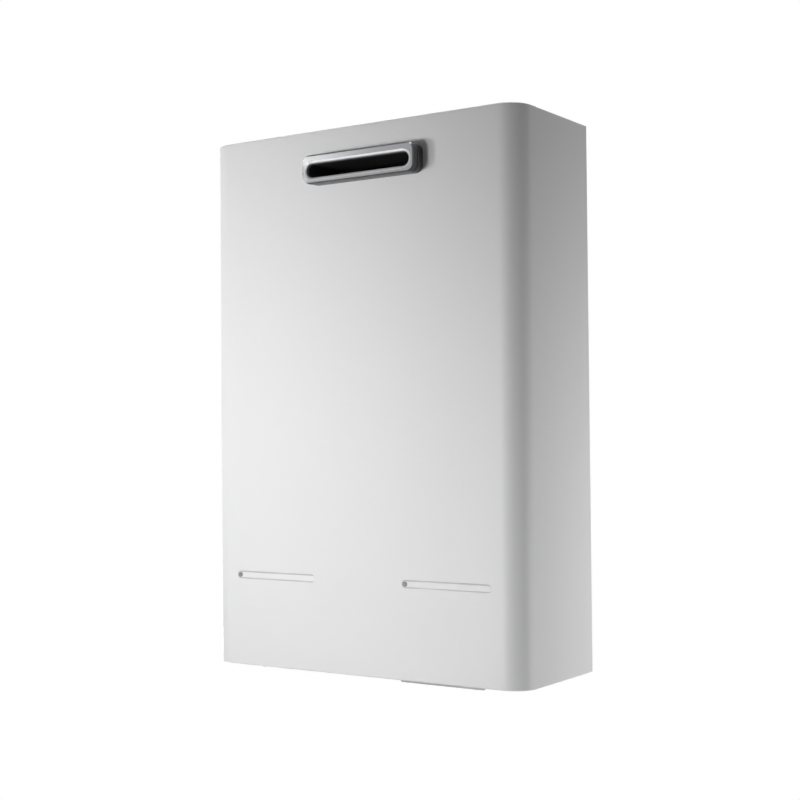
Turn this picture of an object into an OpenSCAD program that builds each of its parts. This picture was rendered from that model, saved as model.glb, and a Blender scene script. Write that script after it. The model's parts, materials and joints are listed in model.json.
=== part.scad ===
// Outdoor tankless gas water heater: a wall-hung sheet steel case with its works inside.
// Sizes are in millimetres. The front faces -Y, up is +Z and the wall is the plane y = 0.
// The origin is the centre of the four wall bolts.

/* [Casing] */
// Width of the casing
case_w = 397; // [390:1:460]
// Height of the casing
case_h = 580; // [560:1:680]
// Depth of the casing
case_d = 148; // [146:1:190]
// Radius of the two upright front corners
corner_r = 25; // [10:1:40]
// Thickness of the sheet steel
sheet_t = 1; // [0.8:0.1:1.5]
// Depth of the lip folded under the front of the cover
lip_d = 16; // [12:1:22]
// Width of the lips folded under the sides of the cover
side_lip = 6; // [4:1:10]
// Depth of the flange folded round the back plate
flange_d = 14; // [10:1:20]
// Gap between the cover and the chassis flanges
cover_clear = 0.5; // [0.4:0.1:1]
// Thickness of the rubber seal behind the cover's front
seal_t = 3; // [2:0.5:4]
// Height of the fold at the front of the base
fold_h = 20; // [14:1:30]
// Distance of the cover screws from the centre line
screw_x = 130; // [60:1:150]
// Shank radius of the cover screws
screw_r = 2; // [1.5:0.1:2.5]

/* [Wall brackets] */
// Width of a wall bracket
bracket_w = 240; // [220:1:300]
// Thickness of a wall bracket
bracket_t = 2; // [1.5:0.1:4]
// Height of a bracket on the back plate
bracket_on = 40; // [30:1:60]
// Height of a bracket beyond the casing
bracket_out = 25; // [23:1:32]
// Distance of the wall bolts beyond the casing
hole_out = 15; // [12:1:16]
// Spacing of the wall bolts
hole_span = 200; // [160:1:204]
// Radius of the wall bolt holes
bolt_hole_r = 4.5; // [3:0.1:6]

/* [Flue outlet] */
// Offset of the outlet from the centre line
flue_x = 16; // [0:0.5:20]
// Distance of the outlet's centre below the top
flue_drop = 45; // [42:0.5:60]
// Width of the chrome trim
trim_w = 142; // [140:1:160]
// Height of the chrome trim
trim_h = 31; // [28:0.5:40]
// Corner radius of the trim
trim_r = 9; // [6:0.5:13]
// How far the trim stands out of the front
trim_out = 20; // [17:0.5:30]
// Depth of the band at the trim's root
trim_band = 7; // [4:0.5:9]
// Depth of the groove behind the trim's front ring
trim_groove = 2.5; // [1:0.5:4]
// Thickness of the trim's gasket
trim_gasket_t = 2; // [1:0.5:3]
// Length of the outlet slot
slot_w = 130; // [100:1:131]
// Height of the outlet slot
slot_h = 14.5; // [8:0.5:15]
// Distance of the slot below the trim's centre
slot_drop = 2; // [0:0.5:2]
// Wall thickness of the flue duct
duct_t = 1.2; // [1:0.1:1.5]
// Gap round the duct where it passes the cover
duct_clear = 0.6; // [0.4:0.1:0.8]
// Distance of the duct's mouth behind the trim's face
duct_set = 6; // [4:0.5:9]

/* [Accent strips] */
// Length of an accent strip
strip_l = 106; // [60:1:112]
// Height of an accent strip
strip_h = 8.5; // [8:0.5:12]
// Thickness of an accent strip
strip_t = 0.9; // [0.6:0.1:2]
// Width of the bead along each edge of a strip
strip_bead = 1.3; // [0.8:0.1:1.6]
// Distance of the strips from the centre line
strip_x = 56; // [45:0.5:60]
// Height of the strips above the base
strip_up = 99; // [60:1:160]
// Head radius of the strip studs
stud_r = 2.6; // [1.5:0.1:2.6]
// Shank radius of the strip studs
stud_shank_r = 1.1; // [0.8:0.1:1.3]

/* [Burner column] */
// Width of the burner column
col_w = 230; // [220:1:232]
// Depth of the burner column
col_d = 100; // [98:1:102]
// Gap behind the burner column
col_gap = 10; // [9:0.5:12]
// Wall thickness of the column
col_t = 1.2; // [1:0.1:2]
// Width of the column's flanges
col_flange = 8; // [7:0.5:8.5]
// Thickness of the column's flanges
col_flange_t = 1.5; // [1:0.1:3]
// Height of the flue hood
hood_h = 60; // [50:1:64]
// Height of the hood's centre above the outlet slot
hood_up = 1.5; // [0:0.5:2]
// Height of the heat exchanger
exch_h = 80; // [70:1:95]
// Height of the combustion chamber
chamber_h = 100; // [80:1:112]
// Height of the burner box
burner_h = 70; // [64:1:80]
// Radius of the column screws
col_screw_r = 1.6; // [1.2:0.1:2]
// Distance of the column brackets from the column's centre line
col_bracket_x = 70; // [40:1:90]
// Distance of the column brackets from the ends of the chamber
col_bracket_in = 30; // [20:1:40]
// Width of a column bracket
col_bracket_w = 28; // [20:1:40]
// Height of a column bracket
col_bracket_h = 20; // [14:1:30]
// Thickness of a column bracket
col_bracket_t = 2; // [1:0.1:3]
// Least gap between the control box and the exchanger's tubes
col_clear = 3; // [1:0.5:6]

/* [Heat exchanger] */
// Number of exchanger tubes
tube_count = 6; // [4:2:6]
// Spacing of the exchanger tubes
tube_pitch = 16; // [13:0.5:16]
// Radius of the exchanger tubes
tube_r = 5; // [4:0.25:6]
// Wall thickness of all tubes and pipes
tube_wall = 1; // [0.8:0.1:1.5]
// Number of fins
fin_count = 32; // [12:1:40]
// Thickness of a fin
fin_t = 0.5; // [0.3:0.1:1]
// Height of a fin
fin_h = 56; // [30:1:60]

/* [Burner] */
// Number of burner blades
blade_count = 9; // [5:1:11]
// Thickness of a burner blade
blade_t = 7; // [4:0.5:9]
// Radius of a blade's gas inlet
venturi_r = 5; // [4:0.25:6]
// Height of the gas inlets above the burner's floor
venturi_up = 22; // [20:0.5:25]
// Side of the square gas manifold
manifold_s = 14; // [13:0.5:15]
// Gap between the manifold and the burner box
manifold_gap = 12; // [11:0.5:13]
// Radius of a gas nozzle
nozzle_r = 2.5; // [2:0.1:3]
// Radius of a nozzle's hexagon
nozzle_hex_r = 4.5; // [4:0.1:5]
// Length of a nozzle's hexagon
nozzle_hex_l = 4; // [3:0.5:5]
// Length of each end of a nozzle
nozzle_end_l = 3; // [2:0.5:4]
// Reach of the spark electrode into the chamber
spark_reach = 24; // [16:1:40]
// Reach of the flame rod into the chamber
flame_reach = 50; // [30:1:70]

/* [Fan] */
// Largest radius of the fan's scroll
scroll_r = 60; // [58:0.5:62]
// Growth of the scroll in each quarter turn
scroll_step = 5; // [3:0.5:5]
// Depth of the scroll
scroll_d = 50; // [44:1:54]
// Wall thickness of the scroll
scroll_t = 1.2; // [1:0.1:2]
// Width of the scroll's outlet
neck_w = 46; // [40:1:48]
// Height of the scroll's outlet above the scroll
neck_h = 14; // [10:1:20]
// Radius of the impeller
wheel_r = 40; // [34:0.5:41]
// Number of impeller blades
wheel_blades = 24; // [12:1:30]
// Radius of the fan shaft
shaft_r = 3; // [2:0.25:4]
// Radius of the fan motor
motor_r = 28; // [20:0.5:32]
// Length of the fan motor
motor_l = 34; // [30:1:44]

/* [Unions and pipes] */
// Outer radius of the water and gas threads
thread_r = 10.48; // [8:0.01:10.8]
// Bore radius of the unions
union_bore = 7; // [5:0.25:7.5]
// Length of the unions below the casing
stub_l = 18; // [16:0.5:30]
// Thickness of a lock nut
nut_h = 5; // [4:0.5:6]
// Position of the gas union
gas_x = -120; // [-124:1:-112]
// Position of the hot outlet
hot_x = 35; // [30:1:40]
// Position of the cold inlet
cold_x = 97; // [94:1:102]
// Radius of the water pipes
pipe_r = 6; // [5:0.25:7]
// Bend radius of the water pipes
pipe_bend = 10; // [9:0.5:11]
// Distance of the upright water pipes from the column
pipe_off = 21; // [20:0.5:24]
// Radius of the gas pipe
gas_pipe_r = 7; // [5:0.25:7.5]
// Thickness of the connection bracket
conn_t = 1.5; // [1:0.1:2]
// Width of the connection bracket
conn_w = 106; // [104:1:116]
// Distance of the connection bracket from the centre line
conn_x = 13; // [10:0.5:13]
// Distance of the connection bracket behind the front
conn_back = 60; // [45:1:64]
// How far the connection bracket hangs below the casing
conn_drop = 13.6; // [8:0.1:24]
// Radius of the connection bracket's lower corners
conn_r = 3; // [1:0.5:8]

/* [Water fittings] */
// Width of the water bodies
body_w = 36; // [34:0.5:40]
// Height of the cold inlet body
cold_h = 46; // [44:1:56]
// Height of the hot outlet body
hot_h = 40; // [36:1:48]
// Distance of the drain plugs from the unions
port_gap = 28; // [27:0.5:30]
// Radius of the drain plugs
plug_r = 8; // [6:0.25:8.5]
// Radius of the flow passage with the turbine
flow_r = 9; // [8:0.25:10]
// Radius of the water valve's plug
valve_r = 9; // [8:0.25:10]
// Running clearance of plugs, shafts and plungers
run_clear = 0.05; // [0.03:0.01:0.08]

/* [Gas valve] */
// Width of the gas valve
gas_w = 60; // [58:1:66]
// Depth of the gas valve
gas_d = 50; // [46:1:56]
// Height of the gas valve
gas_h = 60; // [54:1:66]
// Height of the gas valve above the base
gas_up = 45; // [36:1:50]
// Radius of a solenoid coil
coil_r = 14; // [12.5:0.25:14]
// Height of a solenoid coil
coil_h = 36; // [32:1:44]
// Radius of a plunger
plunger_r = 4.5; // [3.5:0.25:5]

/* [Electrics] */
// Width of the control box
ctrl_w = 66; // [56:1:67]
// Height of the control box
ctrl_h = 200; // [160:1:220]
// Depth of the control box
ctrl_d = 48; // [40:1:60]
// Wall thickness of the control box
ctrl_t = 2; // [1.5:0.1:3]
// Gap between the control box and the side of the chassis
ctrl_gap = 6; // [1:0.5:8]
// Grid that the parts of the circuit board are placed on
board_grid = 4; // [3:0.1:4.2]
// Width of the spark unit
spark_w = 44; // [36:1:56]
// Depth of the spark unit
spark_d = 36; // [28:1:44]
// Height of the spark unit
spark_h = 50; // [40:1:60]
// Radius of the wires
wire_r = 2; // [1.5:0.1:2.5]

/* [Hidden] */
$fn = 64;
over = 1;
snug = 0.05;

// Planes of the casing
y_back = -bracket_t;
y_plate = y_back - sheet_t;
y_front = y_back - case_d;
y_in = y_front + sheet_t;
z_top = case_h / 2;
z_bot = -case_h / 2;
x_in = case_w / 2 - sheet_t;
chassis_x = x_in - cover_clear;
plate_top = z_top - sheet_t - cover_clear;
base_gap = 0.3;
base_lo = z_bot + sheet_t + base_gap;
base_hi = base_lo + sheet_t;
base_front = y_in + seal_t;
fold_x = chassis_x - corner_r - 2;
seal_up = 6;
rivet_xs = [-90, -40, 40, 90];
rivet_r = 2;

// Flue outlet
flue_z = z_top - flue_drop;
slot_z = flue_z - slot_drop;
duct_w = slot_w + 2 * duct_t;
duct_h = slot_h + 2 * duct_t;
pocket_w = duct_w + 2 * duct_clear;
pocket_h = duct_h + 2 * duct_clear;
duct_mouth = y_front - trim_out + duct_set;
hook_x = 45;
hook_in = 1.725;
hook_lo = pocket_h / 2 - slot_drop + hook_in;
hook_t = 2;

// Control box
ctrl_left = -chassis_x + sheet_t + ctrl_gap;
ctrl_right = ctrl_left + ctrl_w;

// Burner column: on the outlet's centre line, or further right if the control box needs the room
tube_bend = tube_pitch / 2;
tube_off = tube_bend + 4;
col_x = max(flue_x, ctrl_right + col_clear + tube_off + tube_r + col_w / 2);
col_l = col_x - col_w / 2;
col_rt = col_x + col_w / 2;
col_rear = y_plate - col_gap;
col_front = col_rear - col_d;
col_mid = (col_rear + col_front) / 2;
hood_lo = slot_z + hood_up - hood_h / 2;
exch_lo = hood_lo - exch_h;
chamber_lo = exch_lo - chamber_h;
burner_lo = chamber_lo - burner_h;
tube_z = exch_lo + exch_h / 2;
riser_x = col_rt + pipe_off;
tube_end = riser_x - pipe_bend;
blade_lo = burner_lo + 14;
blade_hi = chamber_lo - 6;
blade_pitch = (col_w - 50) / (blade_count - 1);
venturi_z = burner_lo + venturi_up;
manifold_rear = col_front - manifold_gap;
manifold_y = manifold_rear - manifold_s / 2;
manifold_l = col_w - 10;
probe_z = chamber_lo + 16;
probe_x = 60;
insulator_r = 4;

// Fan
scroll_top = scroll_r - 1.5 * scroll_step - scroll_step;
neck_x = scroll_step / 2 + scroll_r - neck_w;
neck_top = scroll_top + neck_h;
fan_x = col_x - neck_x - neck_w / 2;
fan_z = burner_lo - neck_top;
fan_rear = col_rear - 6;
fan_front = fan_rear - scroll_d;
fan_face = fan_front - scroll_t;
wheel_rear = fan_rear - scroll_t - 4;
wheel_front = fan_front + 5;
shaft_in = 24;

// Unions and water fittings
union_y = col_mid + (tube_count - 1) / 2 * tube_pitch;
port_y = union_y - port_gap;
stub_lo = z_bot - stub_l;
relief = 1.5;
conn_y = y_front + conn_back;
hot_hi = base_hi + hot_h;
cold_hi = base_hi + cold_h;
block_rear = union_y + body_w / 2 - 2;
block_front = port_y - body_w / 2;
valve_z = cold_hi + body_w / 2;
valve_hi = cold_hi + body_w;
valve_rear = union_y + body_w / 2;
valve_front = union_y - body_w / 2;
turbine_lo = base_hi + 16;
turbine_hi = turbine_lo + 12;
cross_z = valve_hi + 16;
hot_run_z = hot_hi + 22;
head_h = 4;
wing_h = 8;

// Gas valve
gas_lo = base_hi + gas_up;
gas_hi = gas_lo + gas_h;
gas_mid = y_plate - 3 - gas_d / 2;
gas_front = gas_mid - gas_d / 2;
coil_xs = [gas_x - 15, gas_x + 15];
seat_z = gas_hi - 22;
gas_out_z = gas_lo + 18;
gas_bend = 2 * gas_pipe_r;

// Electrics
ctrl_lo = 0;
ctrl_rear = y_plate - 3;
ctrl_front = ctrl_rear - ctrl_d;
gland_x = -40;
gland_r = 7.5;
gland_bore = 4.5;
spark_lo = ctrl_lo - spark_h - 25;
spark_boss_x = ctrl_left + spark_w / 2 - 8;
spark_boss_z = spark_lo + spark_h / 2 + 9;
block_x = 158;

// Shapes used by several pieces

// A box between two corners
module box(lo, hi) {
    translate(lo) cube(hi - lo);
}

// Round bars along one axis
module rod_x(y, z, x0, x1, r) {
    translate([x0, y, z]) rotate([0, 90, 0]) cylinder(h = x1 - x0, r = r);
}
module rod_y(x, z, y0, y1, r) {
    translate([x, y0, z]) rotate([-90, 0, 0]) cylinder(h = y1 - y0, r = r);
}
module rod_z(x, y, z0, z1, r) {
    translate([x, y, z0]) cylinder(h = z1 - z0, r = r);
}

// A six-sided bar along Z
module hex_z(x, y, z0, z1, r) {
    translate([x, y, z0]) cylinder(h = z1 - z0, r = r, $fn = 6);
}

// Flat outlines
module stadium(w, h) {
    square([w - h, h], center = true);
    for (s = [-1, 1]) translate([s * (w - h) / 2, 0]) circle(r = h / 2);
}
module rounded(w, h, r) {
    square([w - 2 * r, h], center = true);
    square([w, h - 2 * r], center = true);
    for (sx = [-1, 1], sy = [-1, 1])
        translate([sx * (w / 2 - r), sy * (h / 2 - r)]) circle(r = r);
}

// Plan of the casing: the back edge is at y = 0 and the front corners are round
module case_plan(w, d, r) {
    translate([-w / 2, r - d]) square([w, d - r]);
    translate([r - w / 2, -d]) square([w - 2 * r, d]);
    for (s = [-1, 1]) translate([s * (w / 2 - r), r - d]) circle(r = r);
}

// An upright outline that grows towards the front from the plane y
module from_plane(x, y, z, depth) {
    translate([x, y, z]) rotate([90, 0, 0]) linear_extrude(depth) children();
}

// A pipe along points that turn at right angles
function unit(v) = v / norm(v);
module elbow(p, a, b, r, bend) {
    e1 = -b;
    e2 = a;
    e3 = cross(e1, e2);
    c = p - bend * a + bend * b;
    multmatrix([[e1[0], e2[0], e3[0], c[0]], [e1[1], e2[1], e3[1], c[1]],
            [e1[2], e2[2], e3[2], c[2]]])
        rotate_extrude(angle = 90) translate([bend, 0]) circle(r = r);
}
module straight(p, q, r) {
    d = unit(q - p);
    turn = abs(d[0]) > 0.5 ? [0, 90 * d[0], 0]
        : abs(d[1]) > 0.5 ? [-90 * d[1], 0, 0]
        : [d[2] > 0 ? 0 : 180, 0, 0];
    translate(p) rotate(turn) cylinder(h = norm(q - p), r = r);
}
module run(pts, r, bend, past) {
    last = len(pts) - 1;
    for (i = [0 : last - 1]) {
        d = unit(pts[i + 1] - pts[i]);
        p = pts[i] + (i == 0 ? -past : bend) * d;
        q = pts[i + 1] - (i == last - 1 ? -past : bend) * d;
        if (norm(q - p) > 0.01) straight(p, q, r);
        if (i > 0) elbow(pts[i], unit(pts[i] - pts[i - 1]), d, r, bend);
    }
}
module pipe(pts, r, bend) {
    difference() {
        run(pts, r, bend, 0);
        run(pts, r - tube_wall, bend, over);
    }
}

// A wire along a smooth curve through points
function blend(a, b, c, d, t) = 0.5 * (2 * b + (c - a) * t
    + (2 * a - 5 * b + 4 * c - d) * t * t + (3 * b - a - 3 * c + d) * t * t * t);
function curve(p, n) = let(e = len(p) - 1) concat([for (i = [0 : e - 1], k = [0 : n - 1])
    blend(i == 0 ? 2 * p[0] - p[1] : p[i - 1], p[i], p[i + 1],
        i == e - 1 ? 2 * p[e] - p[e - 1] : p[i + 2], k / n)], [p[e]]);
module wire(p, r) {
    sides = 8;
    path = curve(p, 5);
    e = len(path) - 1;
    way = [for (i = [0 : e]) i == 0 ? unit(p[1] - p[0])
        : i == e ? unit(p[len(p) - 1] - p[len(p) - 2]) : unit(path[i + 1] - path[i - 1])];
    ring = [for (i = [0 : e]) let(u = unit(cross(way[i], [0.31, 0.47, 0.83])),
        v = cross(u, way[i])) for (k = [0 : sides - 1])
        path[i] + r * (cos(360 * k / sides) * u + sin(360 * k / sides) * v)];
    wall = [for (i = [0 : e - 1], k = [0 : sides - 1]) let(a = i * sides + k,
        b = i * sides + (k + 1) % sides) [a, b, b + sides, a + sides]];
    ends = [[for (k = [sides - 1 : -1 : 0]) k], [for (k = [0 : sides - 1]) e * sides + k]];
    polyhedron(points = ring, faces = concat(wall, ends));
}

// Casing

// Painted cover: front, sides, top and the lips folded under it
module front_cover() {
    color([0.87, 0.87, 0.88])
    difference() {
        translate([0, y_back, z_bot])
            linear_extrude(case_h) case_plan(case_w, case_d, corner_r);
        translate([0, y_back + over, z_bot + sheet_t]) linear_extrude(case_h - 2 * sheet_t)
            case_plan(2 * x_in, case_d - sheet_t + over, corner_r - sheet_t);
        box([side_lip - x_in, y_front + lip_d, z_bot - over],
            [x_in - side_lip, y_back + over, z_bot + sheet_t + over]);
        from_plane(flue_x, y_in + over, slot_z, sheet_t + 2 * over)
            stadium(pocket_w, pocket_h);
        hook_slots(y_in + over, sheet_t + 2 * over);
        for (x = [-strip_x - strip_l, strip_x])
            rod_y(x + strip_h / 2, z_bot + strip_up, y_front - over, y_in + over,
                stud_shank_r + snug);
        for (s = [-1, 1]) {
            rod_z(s * screw_x, y_front + lip_d / 2, z_bot - over, z_bot + sheet_t + over,
                screw_r + snug);
            rod_z(s * screw_x, y_plate - flange_d / 2, z_top - sheet_t - over, z_top + over,
                screw_r + snug);
        }
    }
}
module hook_slots(y, depth) {
    for (s = [-1, 1])
        from_plane(flue_x + s * hook_x, y, flue_z + hook_lo - 0.2, depth)
            translate([-4.3, 0]) square([8.6, hook_t + 1.8]);
}

// Chrome outlet trim: a front ring, a groove, a root band and two snap hooks
module flue_trim() {
    root = y_front - trim_gasket_t;
    color([0.8, 0.81, 0.83])
    union() {
        difference() {
            union() {
                from_plane(flue_x, root, flue_z, trim_band)
                    rounded(trim_w - 1, trim_h - 1, trim_r - 0.5);
                from_plane(flue_x, root, flue_z, trim_out - trim_gasket_t - 1)
                    rounded(trim_w - 4, trim_h - 4, trim_r - 2);
                from_plane(flue_x, root - trim_band - trim_groove, flue_z,
                    trim_out - trim_gasket_t - trim_band - trim_groove)
                    rounded(trim_w, trim_h, trim_r);
            }
            from_plane(flue_x, y_front + over, slot_z, trim_out + 2 * over)
                stadium(slot_w, slot_h);
            from_plane(flue_x, y_front + over, slot_z, trim_out - duct_set + 1 + over)
                stadium(pocket_w, pocket_h);
        }
        for (s = [-1, 1]) hook(flue_x + s * hook_x, flue_z + hook_lo, root);
    }
}
module hook(x, z, root) {
    box([x - 4, root - 1, z], [x + 4, y_in + 2.5, z + hook_t]);
    box([x - 4, y_in, z], [x + 4, y_in + 2.5, z + hook_t + 1.2]);
}

// Rubber gasket between the trim and the cover
module flue_trim_gasket() {
    color([0.1, 0.1, 0.1])
    difference() {
        from_plane(flue_x, y_front, flue_z, trim_gasket_t)
            rounded(trim_w - 1.6, trim_h - 1.6, trim_r - 0.8);
        from_plane(flue_x, y_front + over, slot_z, trim_gasket_t + 2 * over)
            stadium(pocket_w, pocket_h);
        hook_slots(y_front + over, trim_gasket_t + 2 * over);
    }
}

// Accent strips with a bead along each long edge
module accent_strip(x) {
    color([0.82, 0.82, 0.83])
    difference() {
        from_plane(x + strip_l / 2, y_front, z_bot + strip_up, strip_t)
            stadium(strip_l, strip_h);
        from_plane(x + strip_l / 2, y_front - strip_t / 2, z_bot + strip_up, strip_t)
            stadium(strip_l - 2 * strip_bead, strip_h - 2 * strip_bead);
        rod_y(x + strip_h / 2, z_bot + strip_up, y_front - strip_t - over, y_front + over,
            stud_shank_r + snug);
    }
}
module accent_strip_left() {
    accent_strip(-strip_x - strip_l);
}
module accent_strip_right() {
    accent_strip(strip_x);
}

// Studs that hold the strips: the dark dots
module strip_studs() {
    color([0.2, 0.2, 0.21])
    for (x = [-strip_x - strip_l, strip_x]) {
        rod_y(x + strip_h / 2, z_bot + strip_up, y_front - strip_t - 0.3,
            y_front - strip_t / 2, stud_r);
        rod_y(x + strip_h / 2, z_bot + strip_up, y_front - strip_t / 2, y_in + 2,
            stud_shank_r);
    }
}

// Four screws of the cover, two under the base and two on the top
module cover_screws() {
    color([0.6, 0.6, 0.62])
    for (s = [-1, 1]) {
        screw_up(s * screw_x, y_front + lip_d / 2);
        screw_down(s * screw_x, y_plate - flange_d / 2);
    }
}
module screw_up(x, y) {
    rod_z(x, y, z_bot - 1.4, z_bot, 2 * screw_r);
    rod_z(x, y, z_bot, base_hi + 4, screw_r);
}
module screw_down(x, y) {
    rod_z(x, y, z_top, z_top + 1.4, 2 * screw_r);
    rod_z(x, y, plate_top - sheet_t - 3, z_top, screw_r);
}

// Back plate with a flange on both sides and the top
module back_plate() {
    color([0.68, 0.69, 0.7])
    difference() {
        union() {
            box([-chassis_x, y_plate, base_lo], [chassis_x, y_back, plate_top]);
            box([-chassis_x, y_plate - flange_d, base_hi],
                [sheet_t - chassis_x, y_back, plate_top]);
            box([chassis_x - sheet_t, y_plate - flange_d, base_hi],
                [chassis_x, y_back, plate_top]);
            box([-chassis_x, y_plate - flange_d, plate_top - sheet_t],
                [chassis_x, y_back, plate_top]);
        }
        for (s = [-1, 1])
            box([s * screw_x - screw_r - 0.5, y_plate - flange_d - over, plate_top - 2 * sheet_t],
                [s * screw_x + screw_r + 0.5, y_plate - flange_d / 2 + screw_r + 0.5,
                    plate_top + over]);
        for (x = rivet_xs, z = [z_bot + bracket_on / 2 + 4, z_top - bracket_on / 2 - 4])
            rod_y(x, z, y_plate - over, y_back + over, rivet_r + snug);
    }
}

// Base plate with a fold at the front and sides, pipe holes and air slots
module base_plate() {
    color([0.68, 0.69, 0.7])
    difference() {
        union() {
            translate([0, y_plate, base_lo]) linear_extrude(sheet_t)
                case_plan(2 * chassis_x, y_plate - base_front, corner_r - sheet_t);
            box([-fold_x, base_front, base_lo],
                [fold_x, base_front + sheet_t, base_hi + fold_h]);
            for (s = [0, 1]) mirror([s, 0, 0])
                box([chassis_x - sheet_t, base_front + corner_r, base_lo],
                    [chassis_x, y_plate - flange_d - over, base_hi + 12]);
        }
        for (s = [-1, 1])
            box([s * screw_x - screw_r - 0.5, base_front - over, base_lo - over],
                [s * screw_x + screw_r + 0.5, y_front + lip_d / 2 + screw_r + 0.5,
                    base_hi + seal_up - 0.5]);
        for (x = [gas_x, hot_x, cold_x])
            rod_z(x, union_y, base_lo - over, base_hi + over, thread_r + 0.3);
        for (x = [hot_x, cold_x])
            rod_z(x, port_y, base_lo - over, base_hi + over, plug_r + 1);
        rod_z(gland_x, union_y, base_lo - over, base_hi + over, gland_r + snug);
        for (i = [0 : 7])
            box([-88 + 12 * i, conn_y - 22, base_lo - over],
                [-84.5 + 12 * i, conn_y + 18, base_hi + over]);
    }
}

// Wall brackets: straps on the back plate with two bolt holes each
module wall_bracket(s) {
    color([0.72, 0.73, 0.74])
    difference() {
        from_plane(0, 0, s * (case_h / 2 + (bracket_out - bracket_on) / 2), bracket_t)
            rounded(bracket_w, bracket_on + bracket_out, 8);
        for (x = [-1, 1])
            rod_y(x * hole_span / 2, s * (case_h / 2 + hole_out), -bracket_t - over, over,
                bolt_hole_r);
        for (x = rivet_xs)
            rod_y(x, s * (case_h / 2 - bracket_on / 2 - 4), -bracket_t - over, over,
                rivet_r + snug);
    }
}
module wall_bracket_top() {
    wall_bracket(1);
}
module wall_bracket_bottom() {
    wall_bracket(-1);
}

// Rivets of the brackets, flush on the wall side
module bracket_rivets() {
    color([0.6, 0.6, 0.62])
    for (x = rivet_xs, s = [-1, 1]) {
        z = s * (case_h / 2 - bracket_on / 2 - 4);
        rod_y(x, z, y_plate, -0.1, rivet_r);
        rod_y(x, z, y_plate - 1.5, y_plate, 2 * rivet_r);
    }
}

// Bracket under the base that stiffens the two water unions
module connection_bracket() {
    color([0.55, 0.55, 0.56])
    difference() {
        union() {
            box([conn_x, conn_y, base_lo - conn_t], [conn_x + conn_w, block_rear, base_lo]);
            difference() {
                from_plane(conn_x + conn_w / 2, conn_y + conn_t, base_lo - conn_w / 2, conn_t)
                    square(conn_w, center = true);
                box([conn_x - over, conn_y - over, base_lo - conn_w - over],
                    [conn_x + conn_w + over, conn_y + conn_t + over, z_bot - conn_drop]);
            }
        }
        for (s = [0, 1]) corner_cut(conn_x + s * conn_w, 1 - 2 * s, conn_r);
        for (x = [hot_x, cold_x]) {
            rod_z(x, union_y, base_lo - conn_t - over, base_lo + over, thread_r + 0.3);
            rod_z(x, port_y, base_lo - conn_t - over, base_lo + over, plug_r + 1);
        }
    }
}
module corner_cut(x, s, r) {
    difference() {
        box([min(x - s * over, x + s * r), conn_y - over, z_bot - conn_drop - over],
            [max(x - s * over, x + s * r), conn_y + conn_t + over, z_bot - conn_drop + r]);
        rod_y(x + s * r, z_bot - conn_drop + r, conn_y - 2 * over, conn_y + conn_t + 2 * over, r);
    }
}

// Lock nuts of the three unions
module lock_nuts() {
    color([0.78, 0.66, 0.36]) {
        lock_nut(gas_x, base_lo);
        lock_nut(hot_x, base_lo - conn_t);
        lock_nut(cold_x, base_lo - conn_t);
    }
}
module lock_nut(x, z) {
    difference() {
        hex_z(x, union_y, z - nut_h, z, thread_r + 5.5);
        rod_z(x, union_y, z - nut_h - over, z + over, thread_r + snug);
    }
}

// Rubber seal between the base's front fold and the cover
module cover_seal() {
    color([0.12, 0.12, 0.12])
    box([-fold_x, y_in, base_hi + seal_up], [fold_x, base_front, base_hi + fold_h]);
}

// Gland for the mains cable, with its nut inside
module cable_gland() {
    color([0.15, 0.15, 0.16]) {
        difference() {
            union() {
                hex_z(gland_x, union_y, base_lo - 6, base_lo, gland_r + 4);
                rod_z(gland_x, union_y, base_lo - 15, base_lo - 6, gland_r + 1);
                rod_z(gland_x, union_y, base_lo, base_hi + 9, gland_r);
            }
            rod_z(gland_x, union_y, base_lo - 15 - over, base_hi + 9 + over, gland_bore);
        }
        difference() {
            hex_z(gland_x, union_y, base_hi, base_hi + 5, gland_r + 4);
            rod_z(gland_x, union_y, base_hi - over, base_hi + 5 + over, gland_r + snug);
        }
    }
}

// Burner column

// Walls of a column box with flanges at the chosen levels
module column_flange(z) {
    box([col_l - col_flange, col_front - col_flange, z],
        [col_rt + col_flange, col_rear + col_flange, z + col_flange_t]);
}
module column_hollow(z0, z1) {
    box([col_l + col_t, col_front + col_t, z0], [col_rt - col_t, col_rear - col_t, z1]);
}
function screw_spots() = [for (x = [col_l - col_flange / 2, col_rt + col_flange / 2],
    y = [col_front - col_flange / 2, col_rear + col_flange / 2]) [x, y],
    for (s = [-1, 1]) [col_x + s * 85, col_front - col_flange / 2]];
module column_holes(z) {
    for (p = screw_spots())
        rod_z(p[0], p[1], z - col_flange_t - over, z + col_flange_t + over,
            col_screw_r + snug);
}

// Steel hood that gathers the flue gas
module flue_hood() {
    top_w = col_w - 56;
    color([0.7, 0.71, 0.72])
    difference() {
        union() {
            from_plane(col_x, col_rear, hood_lo, col_d)
                polygon([[-col_w / 2, 0], [col_w / 2, 0], [top_w / 2, hood_h],
                    [-top_w / 2, hood_h]]);
            column_flange(hood_lo);
        }
        from_plane(col_x, col_rear - col_t, hood_lo, col_d - 2 * col_t)
            polygon([[col_t - col_w / 2, -over], [col_w / 2 - col_t, -over],
                [col_w / 2 - col_t, 0], [top_w / 2 - col_t, hood_h - col_t],
                [col_t - top_w / 2, hood_h - col_t], [col_t - col_w / 2, 0]]);
        from_plane(flue_x, col_front + col_t + over, slot_z, col_t + 2 * over)
            stadium(slot_w, slot_h);
        column_holes(hood_lo);
    }
}

// Duct from the hood through the cover into the trim
module flue_duct() {
    color([0.16, 0.16, 0.17])
    difference() {
        union() {
            from_plane(flue_x, col_front, slot_z, col_front - duct_mouth)
                stadium(duct_w, duct_h);
            from_plane(flue_x, col_front, slot_z, 2) rounded(duct_w + 12, duct_h + 12, 6);
        }
        from_plane(flue_x, col_front + over, slot_z, col_front - duct_mouth + 2 * over)
            stadium(slot_w, slot_h);
    }
}

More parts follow.
